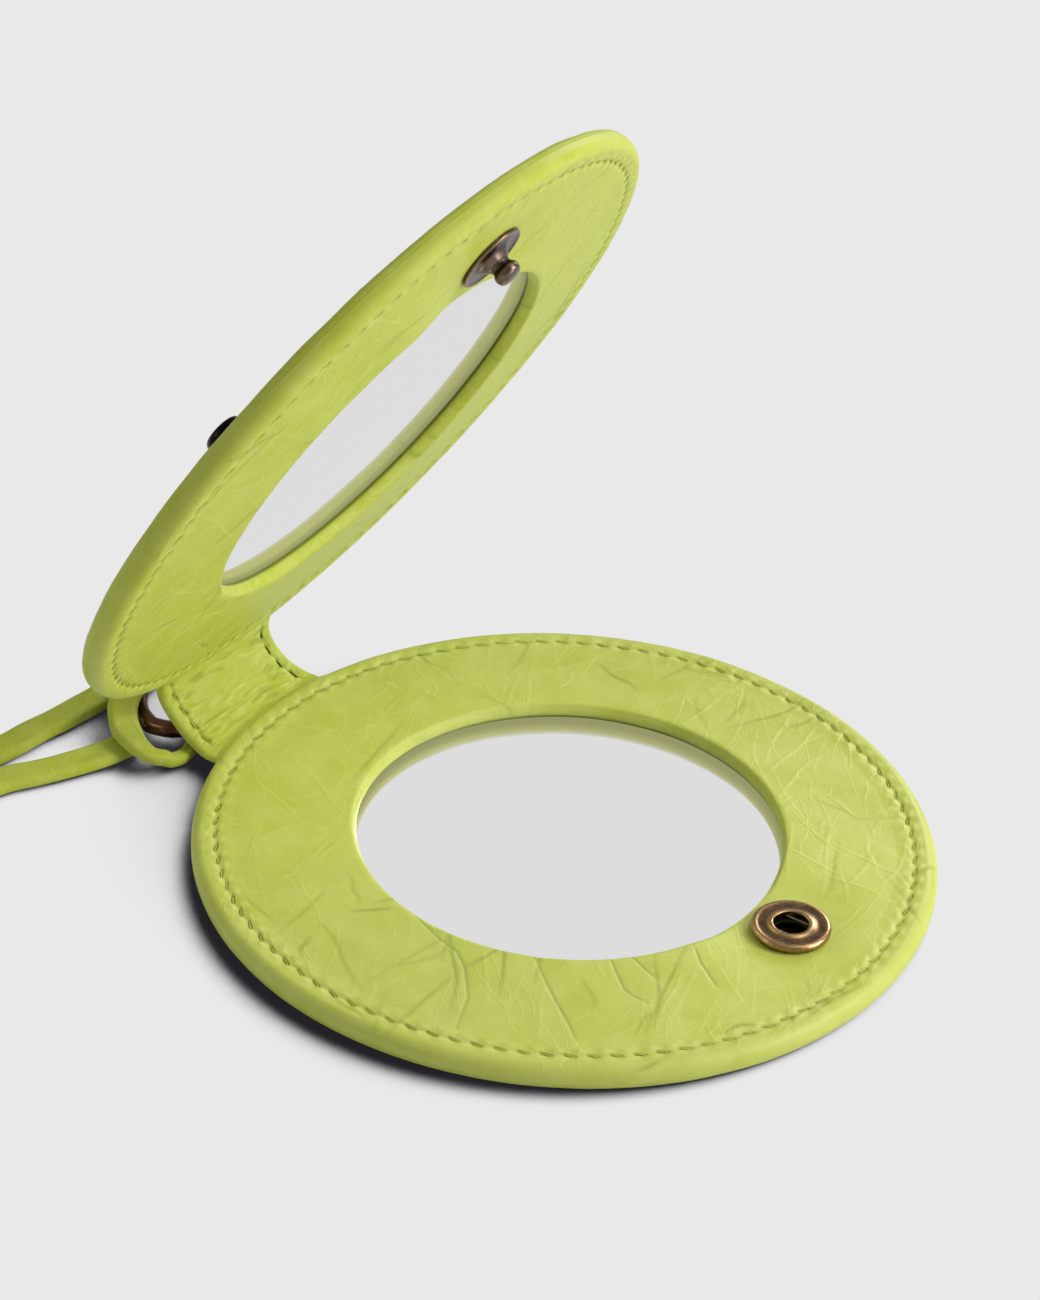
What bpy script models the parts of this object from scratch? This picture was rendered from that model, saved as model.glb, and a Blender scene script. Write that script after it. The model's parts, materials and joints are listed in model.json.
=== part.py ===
# A folding pocket mirror: two round leather leaves on a gusset hinge, with a carrying strap.
#
# World: +Z up, metres. The lower leaf lies on z = 0 with its centre at the origin.
# The hinge axis runs along Y on the -X side, and the snap faces it on the +X side.
# Each leaf is built in its own frame: outer face at z = 0, inner face up, snap on +X.

import math

import bmesh
import bpy
from mathutils import Vector

MM = 0.001

# Leaf
leaf_radius = 45.0 * MM
rim_round = 1.0 * MM
cover_wall = 0.7 * MM
card_thick = 0.44 * MM
board_thick = 1.15 * MM
glass_thick = 1.5 * MM
layer_gap = 0.05 * MM
rim_gap = 0.3 * MM
seam_gap = 0.03 * MM

# Window and mirror
window_share = 0.5622
window_radius = leaf_radius * window_share
lip_undercut = 0.75 * MM
lip_width = 3.2 * MM
lip_slope = 1.6 * MM
glass_margin = 2.2 * MM
glass_gap = 0.3 * MM

# Hinge
opening_deg = 61.9
hinge_reach = 5.7 * MM
hinge_height = 2.22 * MM
snap_clearance = 0.6 * MM

# Gusset
gusset_width = 22.8 * MM
gusset_waist = 21.2 * MM
gusset_shift = -1.2 * MM
ply_thick = 0.75 * MM
ply_skived = 0.5 * MM
ply_gap = 0.05 * MM
tab_length = 4.0 * MM
tab_flat_share = 0.9
gusset_bow_share = 0.37
slot_gap = 0.4 * MM

# Press snap
snap_web = 0.93 * MM
shank_radius = 2.65 * MM
shank_bore = 2.1 * MM
shank_gap = 0.25 * MM
rivet_radius = 4.1 * MM
socket_radius = 4.75 * MM
socket_height = 1.28 * MM
socket_hole = 2.05 * MM
socket_wall = 0.4 * MM
socket_floor = 0.2 * MM
spring_wire = 0.22 * MM
spring_gap = 0.12 * MM
spring_turn_deg = 1.0
stud_radius = 4.8 * MM
stud_bead = 0.62 * MM
stud_base = 0.4 * MM
stud_height = 3.7 * MM
neck_radius = 1.2 * MM
head_radius = 1.6 * MM
stud_pin = 1.2 * MM
stud_pin_share = 0.3
stud_cone_share = 0.55

# Radius as a share of the neck or head, and height as a share of the whole stud
stud_neck_shares = [(1.55, 0.28), (1.0, 0.41), (1.0, 0.58)]
stud_head_shares = [(0.93, 0.66), (1.0, 0.74), (0.9, 0.86), (0.6, 0.95)]

# Along and across the hairpin's first leg and half its bend, as shares of their reach
spring_leg_shares = [(1.0, 1.0), (0.0, 1.0), (-0.75, 1.0)]
spring_bend_shares = (0.94, 0.5)

# Dome stud on the upper leaf's outer face
dome_radius = 2.5 * MM
dome_height = 1.85 * MM
dome_inset = 6.2 * MM
dome_angle_deg = 64.4
dome_pin = 1.0 * MM
washer_radius = 2.4 * MM
pin_gap = 0.15 * MM

# Radius and height of the dome's profile, as shares of its own
dome_shares = [(0.6, 0.97), (0.86, 0.86), (0.97, 0.66), (1.0, 0.4)]

# Ring, keeper and strap
ring_wire = 1.1 * MM
ring_arc = 10.4 * MM
ring_corner = 1.6 * MM
ring_trim_share = 0.25
bar_shares = (-1, -0.5, 0, 0.5, 1)
ring_seat_share = 0.42
keeper_width = 12.0 * MM
keeper_thick = 0.5 * MM
keeper_gap = 0.2 * MM
keeper_low_shares = (0.0, 0.1, 0.2)
keeper_high_shares = (0.64, 0.74, 0.85, 0.95)
keeper_turns_deg = (105, 75, 45, 15, -15, -45, -75, -105)
strap_width = 4.2 * MM
strap_thick = 1.7 * MM
floor_gap = 0.05 * MM

# Facets
disc_sides = 60
small_sides = 32
round_steps = 4
spine_steps = 18
ring_steps = 30
path_steps = 3
sharp_deg = 35
merge_reach = 0.001 * MM
overrun = 1.0 * MM

# Levels in a leaf, from its outer face up
card_base = cover_wall + layer_gap
board_base = card_base + card_thick + layer_gap
board_top = board_base + board_thick
inner_base = board_top + layer_gap
inner_top = inner_base + cover_wall
glass_top = board_base + glass_thick
lip_base = glass_top + layer_gap
lip_top = lip_base + cover_wall
core_radius = leaf_radius - cover_wall - rim_gap
glass_radius = window_radius + glass_margin
frame_radius = glass_radius + glass_gap
snap_reach = frame_radius + snap_web + shank_radius + shank_gap
snap_seat_radius = max(socket_radius, stud_radius) + rim_gap

# Hinge places
closed_gap = socket_height + stud_bead + snap_clearance
hinge_x = -(leaf_radius + hinge_reach)
upper_drop = 2 * inner_top + closed_gap - hinge_height
opening = math.radians(opening_deg)

# Strap route from the hinge axis, chosen by hand in millimetres: out along one strand and back
strap_route = [
    (-13.7, -6.2), (-13.8, -9.9), (-14.2, -13.1), (-14.6, -16.4), (-15.2, -19.8), (-16.2, -26.5),
    (-18.9, -36.0), (-22.9, -46.0), (-27.7, -56.0), (-32.7, -66.0), (-36.3, -75.0), (-36.9, -83.0),
    (-32.9, -90.0), (-25.5, -91.8), (-18.9, -87.6), (-15.9, -80.0), (-14.9, -70.0), (-14.5, -60.0),
    (-14.2, -50.0), (-13.5, -40.0), (-11.9, -31.5), (-9.2, -26.7), (-6.9, -22.2), (-5.4, -18.6),
    (-4.5, -14.9),
]
bight_route = [
    (-9.3, -8.6, 4.15), (-8.2, -11.4, 3.75), (-6.5, -13.6, 3.2), (-4.1, -15.6, 2.95),
    (-1.6, -16.7, 2.7), (0.3, -16.6, 2.1), (1.5, -15.4, 1.5), (2.0, -14.7, 1.05),
]


def clear_scene():
    for thing in list(bpy.data.objects):
        bpy.data.objects.remove(thing, do_unlink=True)


def make_material(name, colour, roughness, metallic=0.0):
    material = bpy.data.materials.new(name)
    material.use_nodes = True
    shader = material.node_tree.nodes["Principled BSDF"]
    shader.inputs["Base Color"].default_value = (*colour, 1.0)
    shader.inputs["Roughness"].default_value = roughness
    shader.inputs["Metallic"].default_value = metallic
    return material


def add_object(name, data, material, parent=None):
    made = bpy.data.objects.new(name, data)
    bpy.context.scene.collection.objects.link(made)
    data.materials.append(material)
    made.parent = parent
    return made


def add_mesh(name, bm, material, parent=None):
    bmesh.ops.recalc_face_normals(bm, faces=bm.faces)
    mesh = bpy.data.meshes.new(name)
    bm.to_mesh(mesh)
    bm.free()
    mesh.shade_smooth()
    mesh.set_sharp_from_angle(angle=math.radians(sharp_deg))
    return add_object(name, mesh, material, parent)


# Solids

def turned(name, outline, material, parent=None, sides=disc_sides, centre=(0, 0)):
    """A solid of revolution about Z from a closed outline of (radius, height) points."""
    bm = bmesh.new()
    ring = [bm.verts.new((r, 0, z)) for r, z in outline]
    for a, b in zip(ring, ring[1:] + ring[:1]):
        if a.co.x > 0 or b.co.x > 0:
            bm.edges.new((a, b))
    bmesh.ops.spin(
        bm, geom=bm.verts[:] + bm.edges[:], cent=(0, 0, 0), axis=(0, 0, 1),
        angle=2 * math.pi, steps=sides, use_duplicate=False,
    )
    bmesh.ops.remove_doubles(bm, verts=bm.verts, dist=merge_reach)
    made = add_mesh(name, bm, material, parent)
    made.location = (*centre, 0)
    return made


def arc_points(cx, cz, radius, start_deg, end_deg, steps):
    points = []
    for i in range(steps + 1):
        angle = math.radians(start_deg + (end_deg - start_deg) * i / steps)
        points.append((cx + radius * math.cos(angle), cz + radius * math.sin(angle)))
    return points


def cylinder_cutter(name, radius, low, high, centre, parent):
    bm = bmesh.new()
    bmesh.ops.create_cone(
        bm, cap_ends=True, segments=small_sides, radius1=radius, radius2=radius, depth=high - low,
    )
    mesh = bpy.data.meshes.new(name)
    bm.to_mesh(mesh)
    bm.free()
    return place_cutter(name, mesh, (*centre, (low + high) / 2), parent)


def box_cutter(name, low, high, parent):
    bm = bmesh.new()
    bmesh.ops.create_cube(bm, size=1)
    size = Vector(high) - Vector(low)
    bmesh.ops.scale(bm, vec=size, verts=bm.verts)
    mesh = bpy.data.meshes.new(name)
    bm.to_mesh(mesh)
    bm.free()
    return place_cutter(name, mesh, (Vector(low) + Vector(high)) / 2, parent)


def place_cutter(name, mesh, location, parent):
    cutter = bpy.data.objects.new(name, mesh)
    bpy.context.scene.collection.objects.link(cutter)
    cutter.location = location
    cutter.parent = parent
    cutter.hide_render = True
    cutter.display_type = "WIRE"
    return cutter


def cut(target, cutter):
    modifier = target.modifiers.new(cutter.name, "BOOLEAN")
    modifier.operation = "DIFFERENCE"
    modifier.solver = "EXACT"
    modifier.object = cutter


def lofted(name, sections, material, parent=None):
    """A closed strip through cross-sections, each a loop of points of the same count."""
    bm = bmesh.new()
    loops = [[bm.verts.new(p) for p in section] for section in sections]
    for one, two in zip(loops, loops[1:]):
        for i in range(len(one)):
            j = (i + 1) % len(one)
            bm.faces.new((one[i], one[j], two[j], two[i]))
    bm.faces.new(loops[0])
    bm.faces.new(loops[-1])
    return add_mesh(name, bm, material, parent)


def smooth_path(points, per_span):
    """Points read from a Catmull-Rom curve through the given points."""
    rows = [Vector(p) for p in points]
    rows = [2 * rows[0] - rows[1]] + rows + [2 * rows[-1] - rows[-2]]
    path = []
    for a, b, c, d in zip(rows, rows[1:], rows[2:], rows[3:]):
        for i in range(per_span):
            t = i / per_span
            path.append(
                0.5 * (2 * b + (c - a) * t + (2 * a - 5 * b + 4 * c - d) * t * t
                       + (3 * b - a - 3 * c + d) * t * t * t)
            )
    path.append(rows[-2])
    return path


def wire(name, points, radius, material, parent=None, cyclic=False):
    curve = bpy.data.curves.new(name, "CURVE")
    curve.dimensions = "3D"
    spline = curve.splines.new("POLY")
    spline.points.add(len(points) - 1)
    for row, point in zip(spline.points, points):
        row.co = (*point, 1)
    spline.use_cyclic_u = cyclic
    curve.bevel_depth = radius
    curve.bevel_resolution = 2
    curve.use_fill_caps = not cyclic
    return add_object(name, curve, material, parent)


def flat_strap(name, points, material, parent=None):
    """A strap of rounded edges that lies flat along its route."""
    made = wire(name, points, strap_thick / 2, material, parent)
    made.data.extrude = (strap_width - strap_thick) / 2
    made.data.twist_mode = "Z_UP"
    for row in made.data.splines[0].points:
        row.tilt = math.pi / 2
    return made


# Leaves

def outer_cover_outline():
    inner_round = rim_round - cover_wall / 2
    wall_radius = leaf_radius - cover_wall
    wall_top = board_base - seam_gap
    outline = [(0, 0)]
    outline += arc_points(leaf_radius - rim_round, rim_round, rim_round, -90, 0, round_steps)
    outline += [(leaf_radius, wall_top), (wall_radius, wall_top)]
    outline += [(wall_radius, cover_wall + inner_round / 2), (wall_radius - inner_round / 2, cover_wall)]
    outline += [(0, cover_wall)]
    return outline


def inner_cover_outline():
    wall_radius = leaf_radius - cover_wall
    lip_inner = window_radius + lip_undercut
    lip_outer = window_radius + lip_width
    lip_foot = lip_outer + lip_slope
    outline = [(wall_radius, board_base), (leaf_radius, board_base)]
    outline += arc_points(leaf_radius - rim_round, inner_top - rim_round, rim_round, 0, 90, round_steps)
    outline += [(lip_foot, inner_top), (lip_outer, lip_top - layer_gap)]
    outline += [(window_radius + cover_wall, lip_top), (window_radius + cover_wall / 4, lip_top - cover_wall / 4)]
    outline += [(window_radius, lip_top - cover_wall / 2), (lip_inner, lip_base)]
    outline += [(lip_outer, lip_base), (lip_foot, inner_base)]
    outline += [(wall_radius - rim_gap, inner_base), (wall_radius, inner_base - rim_gap)]
    return outline


def hinge_slot(prefix, shift, parent):
    """The room for the gusset's tab on the hinge side."""
    half = gusset_width / 2 + slot_gap
    tab_end = leaf_radius - tab_length - rim_gap
    return box_cutter(
        prefix + "_hinge_slot_cutter",
        (-(leaf_radius + overrun), shift - half, board_base - seam_gap),
        (-tab_end, shift + half, inner_base + layer_gap / 2),
        parent,
    )


def build_leaf(prefix, shift, parent, card_holes):
    leather = materials["leather"]
    outer = turned(prefix + "_outer_cover", outer_cover_outline(), leather, parent)
    card = turned(
        prefix + "_backing_card",
        [(0, card_base), (core_radius, card_base), (core_radius, card_base + card_thick),
         (0, card_base + card_thick)],
        materials["board"], parent,
    )
    for name, radius, centre in card_holes:
        cut(card, cylinder_cutter(name, radius, 0, board_base, centre, parent))
    board = turned(
        prefix + "_spacer_board",
        [(frame_radius, board_base), (core_radius, board_base), (core_radius, board_top),
         (frame_radius, board_top)],
        materials["board"], parent,
    )
    turned(
        prefix + "_mirror",
        [(0, board_base), (glass_radius, board_base), (glass_radius, glass_top), (0, glass_top)],
        materials["mirror"], parent,
    )
    inner = turned(prefix + "_inner_cover", inner_cover_outline(), leather, parent)
    slot = hinge_slot(prefix, shift, parent)
    cut(board, slot)
    cut(inner, slot)
    shank_hole = cylinder_cutter(
        prefix + "_shank_hole_cutter", shank_radius + shank_gap, board_base - seam_gap,
        lip_top + overrun, (snap_reach, 0), parent,
    )
    cut(board, shank_hole)
    cut(inner, shank_hole)
    seat = cylinder_cutter(
        prefix + "_snap_seat_cutter", snap_seat_radius, inner_top + layer_gap / 2,
        lip_top + overrun, (snap_reach, 0), parent,
    )
    cut(inner, seat)
    return outer


def build_lower_leaf():
    snap_hole = ("lower_card_hole_cutter", rivet_radius + rim_gap, (snap_reach, 0))
    build_leaf("lower", gusset_shift, None, [snap_hole])
    build_socket()


def build_upper_leaf(frame):
    snap_hole = ("upper_card_hole_cutter", rivet_radius + rim_gap, (snap_reach, 0))
    dome_hole = ("dome_card_hole_cutter", washer_radius + rim_gap, dome_place())
    outer = build_leaf("upper", -gusset_shift, frame, [snap_hole, dome_hole])
    cut(outer, cylinder_cutter(
        "dome_pin_hole_cutter", dome_pin + pin_gap, -overrun, cover_wall + overrun, dome_place(), frame,
    ))
    build_stud(frame)
    build_dome_stud(frame)


# Press snap

def build_socket():
    brass = materials["brass"]
    centre = (snap_reach, 0)
    base = inner_top + layer_gap
    floor_top = card_base + card_thick
    shank_top = inner_base
    turned(
        "socket_rivet",
        [(0, card_base), (rivet_radius, card_base), (rivet_radius, floor_top), (shank_radius, floor_top),
         (shank_radius, shank_top), (shank_bore, shank_top), (shank_bore, floor_top), (0, floor_top)],
        brass, None, small_sides, centre,
    )
    top = base + socket_height - layer_gap
    groove_low = base + socket_floor
    groove_high = groove_low + 2 * (spring_wire + spring_gap)
    valley = groove_high + socket_floor
    groove_radius = socket_radius - socket_wall * 2
    bead = socket_wall
    outline = [(socket_hole, base), (socket_radius - bead / 2, base), (socket_radius, base + bead)]
    outline += [(socket_radius, top - bead), (socket_radius - bead / 2, top - bead / 3)]
    outline += [(socket_radius - bead * 2, top - bead / 3), (socket_radius - bead * 3, valley)]
    outline += [(socket_hole + bead * 2, valley), (socket_hole + bead, top), (socket_hole, top)]
    outline += [(socket_hole, groove_high), (groove_radius, groove_high)]
    outline += [(groove_radius, groove_low), (socket_hole, groove_low)]
    turned("snap_socket", outline, brass, None, small_sides, centre)
    build_spring((groove_low + groove_high) / 2, groove_radius)


def build_spring(level, room_radius):
    """A hairpin of wire in the socket's groove, whose two legs pass either side of the stud's neck."""
    leg = neck_radius + spring_gap + spring_wire
    bend = room_radius - spring_wire * 2
    reach = math.sqrt(bend ** 2 - leg ** 2)
    bend_share, side_share = spring_bend_shares
    half = [(reach * along, -leg * across) for along, across in spring_leg_shares]
    half.append((-bend * bend_share, -leg * side_share))
    points = half + [(-bend, 0)] + [(x, -y) for x, y in reversed(half)]
    spring = wire("snap_spring", [(x, y, 0) for x, y in points], spring_wire, materials["brass"])
    spring.location = (snap_reach, 0, level)
    spring.rotation_euler = (0, 0, math.radians(spring_turn_deg))


def build_stud(frame):
    bronze = materials["bronze"]
    centre = (snap_reach, 0)
    base = inner_top + layer_gap
    floor_top = card_base + card_thick
    pin_top = inner_top + stud_height * stud_pin_share
    turned(
        "stud_rivet",
        [(0, card_base), (rivet_radius, card_base), (rivet_radius, floor_top), (stud_pin, floor_top),
         (stud_pin, pin_top), (0, pin_top)],
        bronze, frame, small_sides, centre,
    )
    crown = inner_top + stud_bead
    plate = inner_top + stud_base
    bore = stud_pin + pin_gap
    cone_foot = stud_radius * stud_cone_share
    outline = [(bore, base), (stud_radius - stud_base / 2, base), (stud_radius, plate)]
    outline += [(stud_radius - stud_base / 3, crown), (stud_radius - stud_base, crown)]
    outline += [(stud_radius - stud_base * 2, plate), (cone_foot, plate)]
    for radius, shares in ((neck_radius, stud_neck_shares), (head_radius, stud_head_shares)):
        outline += [(radius * across, inner_top + stud_height * up) for across, up in shares]
    outline += [(0, inner_top + stud_height), (0, pin_top + pin_gap), (bore, pin_top + pin_gap)]
    turned("snap_stud", outline, bronze, frame, small_sides, centre)


def dome_place():
    """Centre of the dome stud in the upper leaf's frame."""
    reach = leaf_radius - cover_wall - dome_inset
    angle = math.radians(dome_angle_deg)
    return (reach * math.cos(angle), reach * math.sin(angle))


def build_dome_stud(frame):
    bronze = materials["dark_bronze"]
    low = -layer_gap
    outline = [(0, low - dome_height)]
    outline += [(dome_radius * across, low - dome_height * up) for across, up in dome_shares]
    pin_top = cover_wall + layer_gap / 2
    outline += [(dome_radius, low), (dome_pin, low), (dome_pin, pin_top), (0, pin_top)]
    turned("dome_stud", outline, bronze, frame, small_sides, dome_place())
    turned(
        "dome_washer",
        [(0, card_base), (washer_radius, card_base), (washer_radius, card_base + card_thick),
         (0, card_base + card_thick)],
        bronze, frame, small_sides, dome_place(),
    )


# Gusset hinge

def upper_point(x, z):
    """A point of the upper leaf's frame in the world's XZ plane."""
    along = Vector((math.cos(opening), 0, math.sin(opening)))
    inward = Vector((math.sin(opening), 0, -math.cos(opening)))
    hinge = Vector((hinge_x, 0, hinge_height))
    return hinge + along * (x - hinge_x) + inward * (z - upper_drop)


def gusset_spine():
    """Middle line of the gusset from tab to tab, with how far each point lies into the free part."""
    level = (board_base + board_top) / 2
    low_tab = Vector((-(leaf_radius - tab_length), 0, level))
    low_rim = Vector((-leaf_radius, 0, level))
    high_rim = upper_point(-leaf_radius, level)
    high_tab = upper_point(-(leaf_radius - tab_length), level)
    bow = (high_rim - low_rim).length * gusset_bow_share
    low_handle = low_rim + (low_rim - low_tab).normalized() * bow
    high_handle = high_rim + (high_rim - high_tab).normalized() * bow
    spine = [(low_tab, 0.0), (low_tab.lerp(low_rim, tab_flat_share), 0.0)]
    for i in range(spine_steps + 1):
        t = i / spine_steps
        s = 1 - t
        point = (low_rim * s ** 3 + low_handle * 3 * s * s * t
                 + high_handle * 3 * s * t * t + high_rim * t ** 3)
        spine.append((point, math.sin(math.pi * t)))
    spine += [(high_tab.lerp(high_rim, tab_flat_share), 0.0), (high_tab, 0.0)]
    return spine


def spine_frames(spine):
    """Each point with the direction out of the fold, which faces the hinge side and the floor."""
    rows = [p for p, free in spine]
    frames = []
    for i, (point, free) in enumerate(spine):
        before = rows[max(i - 1, 0)]
        after = rows[min(i + 1, len(rows) - 1)]
        along = (after - before).normalized()
        frames.append((point, Vector((along.z, 0, -along.x)) * -1, free))
    return frames


def gusset_ply(name, side, material):
    sections = []
    for point, outward, free in spine_frames(gusset_spine()):
        thick = ply_skived + (ply_thick - ply_skived) * min(free * 2, 1)
        half = gusset_width / 2 + (gusset_waist - gusset_width) / 2 * free
        near = point + outward * side * ply_gap / 2
        far = point + outward * side * (ply_gap / 2 + thick)
        low = Vector((0, gusset_shift - half, 0))
        high = Vector((0, gusset_shift + half, 0))
        sections.append([near + low, far + low, far + high, near + high])
    return lofted(name, sections, material)


def spine_at(share):
    """Point and outward direction at a share of the gusset's free part."""
    frames = spine_frames(gusset_spine())[2:-2]
    place = share * (len(frames) - 1)
    i = min(int(place), len(frames) - 2)
    point = frames[i][0].lerp(frames[i + 1][0], place - i)
    outward = frames[i][1].lerp(frames[i + 1][1], place - i).normalized()
    return point, outward


def bar_place():
    point, outward = spine_at(ring_seat_share)
    return point + outward * (ply_gap / 2 + ply_thick + keeper_gap + ring_wire)


def build_keeper():
    """A strip sewn to the gusset's outer face that passes round the ring's bar."""
    bar = bar_place()
    face = ply_gap / 2 + ply_thick + keeper_gap / 2 + keeper_thick / 2
    loop = ring_wire + keeper_gap + keeper_thick / 2
    point, outward = spine_at(ring_seat_share)
    facing = math.atan2(outward.z, outward.x)
    path = []
    for share in keeper_low_shares:
        point, normal = spine_at(share)
        path.append(point + normal * face)
    for turn_deg in keeper_turns_deg:
        angle = facing + math.radians(turn_deg)
        path.append(bar + Vector((math.cos(angle), 0, math.sin(angle))) * loop)
    for share in keeper_high_shares:
        point, normal = spine_at(share)
        path.append(point + normal * face)
    sections = []
    for i, row in enumerate(path):
        along = (path[min(i + 1, len(path) - 1)] - path[max(i - 1, 0)]).normalized()
        across = Vector((along.z, 0, -along.x)) * keeper_thick / 2
        low = Vector((0, gusset_shift - keeper_width / 2, 0))
        high = Vector((0, gusset_shift + keeper_width / 2, 0))
        sections.append([row - across + low, row + across + low, row + across + high, row - across + high])
    lofted("ring_keeper", sections, materials["leather"])


# Ring and strap

def ring_frame():
    """An empty on the ring's bar. The ring lies from it towards -X, with its far side on the floor."""
    bar = bar_place()
    drop = bar.z - ring_wire - floor_gap
    frame = bpy.data.objects.new("ring_frame", None)
    bpy.context.scene.collection.objects.link(frame)
    frame.location = (bar.x, gusset_shift, bar.z)
    frame.rotation_euler = (0, -math.asin(drop / ring_arc), 0)
    return frame


def build_ring(frame):
    arc = [(x, y, 0) for x, y in arc_points(0, 0, ring_arc, 90, 270, ring_steps)]
    points = [p for p in arc if abs(p[1]) < ring_arc - ring_corner * ring_trim_share]
    bar_points = [(0, (ring_arc - ring_corner) * share, 0) for share in bar_shares]
    wire("carrier_ring", points + bar_points, ring_wire, materials["dark_bronze"], frame, cyclic=True)


def build_strap():
    lie = strap_thick / 2 + floor_gap
    route = smooth_path([(hinge_x + x * MM, y * MM, lie) for x, y in strap_route], path_steps)
    flat_strap("strap_loop", route, materials["leather"])
    bight = smooth_path([(hinge_x + x * MM, y * MM, z * MM) for x, y, z in bight_route], path_steps)
    flat_strap("strap_bight", bight, materials["leather"])


def upper_frames():
    """An empty on the hinge axis carries the upper leaf's own frame."""
    hinge = bpy.data.objects.new("hinge_axis", None)
    frame = bpy.data.objects.new("upper_leaf_frame", None)
    for thing in (hinge, frame):
        bpy.context.scene.collection.objects.link(thing)
    hinge.location = (hinge_x, 0, hinge_height)
    hinge.rotation_euler = (math.pi, -opening, 0)
    frame.parent = hinge
    frame.location = (-hinge_x, 0, -upper_drop)
    return frame


clear_scene()
materials = {
    "leather": make_material("leather", (0.479, 0.552, 0.093), 0.35),
    "board": make_material("board", (0.55, 0.5, 0.42), 0.9),
    "mirror": make_material("mirror", (0.9, 0.9, 0.9), 0.03, 1.0),
    "brass": make_material("brass", (0.51, 0.33, 0.16), 0.3, 1.0),
    "bronze": make_material("bronze", (0.22, 0.16, 0.12), 0.3, 1.0),
    "dark_bronze": make_material("dark_bronze", (0.06, 0.04, 0.03), 0.2, 1.0),
}
build_lower_leaf()
build_upper_leaf(upper_frames())
gusset_ply("gusset_inner", -1, materials["leather"])
gusset_ply("gusset_outer", 1, materials["leather"])
build_keeper()
build_ring(ring_frame())
build_strap()
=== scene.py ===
# Looks of a folding pocket mirror: two round leather leaves on a gusset, a press snap and a strap.
# Everything is in metres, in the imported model's frame. The lower leaf lies on z = 0.

import itertools
import json
import math

import bpy
import numpy as np
from mathutils import Matrix, Vector


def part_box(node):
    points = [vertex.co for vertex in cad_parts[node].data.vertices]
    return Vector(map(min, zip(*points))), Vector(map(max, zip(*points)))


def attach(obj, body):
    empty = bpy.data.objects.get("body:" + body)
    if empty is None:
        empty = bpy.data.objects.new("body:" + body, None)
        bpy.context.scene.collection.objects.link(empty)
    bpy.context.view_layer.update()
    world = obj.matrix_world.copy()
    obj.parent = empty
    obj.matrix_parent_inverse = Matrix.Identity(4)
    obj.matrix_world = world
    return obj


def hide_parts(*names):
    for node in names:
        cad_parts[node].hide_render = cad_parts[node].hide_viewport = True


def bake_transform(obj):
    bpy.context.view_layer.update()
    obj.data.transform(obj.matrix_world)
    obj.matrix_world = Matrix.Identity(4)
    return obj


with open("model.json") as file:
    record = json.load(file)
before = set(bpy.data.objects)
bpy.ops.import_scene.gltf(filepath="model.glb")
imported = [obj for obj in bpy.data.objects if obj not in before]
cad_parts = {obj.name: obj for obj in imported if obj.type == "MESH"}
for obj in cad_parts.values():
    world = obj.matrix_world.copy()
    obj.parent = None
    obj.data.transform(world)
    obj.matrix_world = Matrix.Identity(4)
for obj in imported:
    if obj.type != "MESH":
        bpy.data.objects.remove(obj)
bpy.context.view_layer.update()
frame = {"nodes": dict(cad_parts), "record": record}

MM = 0.001

# Camera, solved from the outlines of the two round leaves
photo_width = 1040
photo_height = 1300
focal_pixels = 4000
sensor_width = 36.0
camera_place = Vector((203.04, -334.22, 286.23)) * MM
camera_right = Vector((0.82739, 0.55959, 0.04786))
camera_down = Vector((0.34125, -0.43322, -0.83418))

# Colours as seen, in 8-bit sRGB
leather_rgb = (179, 189, 56)
# Pale tone of the skin's mottle, also its painted highlight on creases, wrinkle lines and puckers
leather_pale_rgb = (203, 210, 112)
# Deep tone: painted shade in folds, creases and seams, and a fleck colour of thread and board
leather_deep_rgb = (112, 124, 16)
# Near black painted shade in stitch holes, under the window lip and in the snap's pit
hollow_shade_rgb = (34, 40, 30)
thread_rgb = (184, 194, 78)
background_rgb = (234, 233, 234)
shadow_rgb = (34, 34, 38)
# Painted reflection: the plain grey glow that mirror rays see in place of sky, floor and far surfaces, and
# the olive glow over near surfaces
painted_mirror_grey_rgb = (222, 222, 222)
painted_reflection_rgb = (180, 180, 128)
brass_rgb = (206, 166, 118)
brass_deep_rgb = (112, 88, 64)
bronze_rgb = (134, 116, 104)
bronze_deep_rgb = (54, 46, 44)
bronze_edge_rgb = (150, 112, 90)
copper_rgb = (128, 90, 68)
copper_deep_rgb = (30, 21, 18)
cap_rgb = (34, 29, 30)
board_rgb = (150, 142, 118)
silver_rgb = (254, 254, 254)
haze_rgb = (249, 250, 250)
lens_bits = 255

# Leaf, with levels from its outer face up
leaf_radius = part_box("lower_outer_cover")[1][0]
rim_round = 1.45 * MM
back_round = 1.1 * MM
cover_wall = 0.7 * MM
seam_level = 1.225 * MM
seam_gap = 0.002 * MM
inner_base = 2.44 * MM
inner_top = 3.14 * MM
silver_bases = {"lower": 1.7 * MM, "upper": 2.08 * MM}
silver_thick = 0.1 * MM
mirror_radius = 27.4 * MM
slot_top = 2.465 * MM
slot_edge = 0.4 * MM
overlap = 0.03 * MM

# Window lip
window_radius = 25.7 * MM
window_shifts = {"lower": (0.3 * MM, 0.35 * MM), "upper": (-0.5 * MM, -0.5 * MM)}
window_shift_start = 38.0 * MM
lip_level = 2.25 * MM
lip_turn_level = 2.95 * MM
lip_undercut = 0.3 * MM
lip_top = 4.2 * MM
lip_crown = 26.6 * MM
lip_foot = 40.0 * MM
lip_roll_drop = 0.08 * MM

# Seams round the leaves
stitch_inset = 2.87 * MM
stitch_count = 100
stitch_slant_deg = 16.0
groove_depth = 0.13 * MM
groove_half = 0.5 * MM
dimple_depth = 0.22 * MM
dimple_length = 0.78 * MM
dimple_half = 0.17 * MM
pucker_height = 0.07 * MM
pucker_reach = 0.62 * MM
pucker_half = 0.42 * MM
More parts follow.
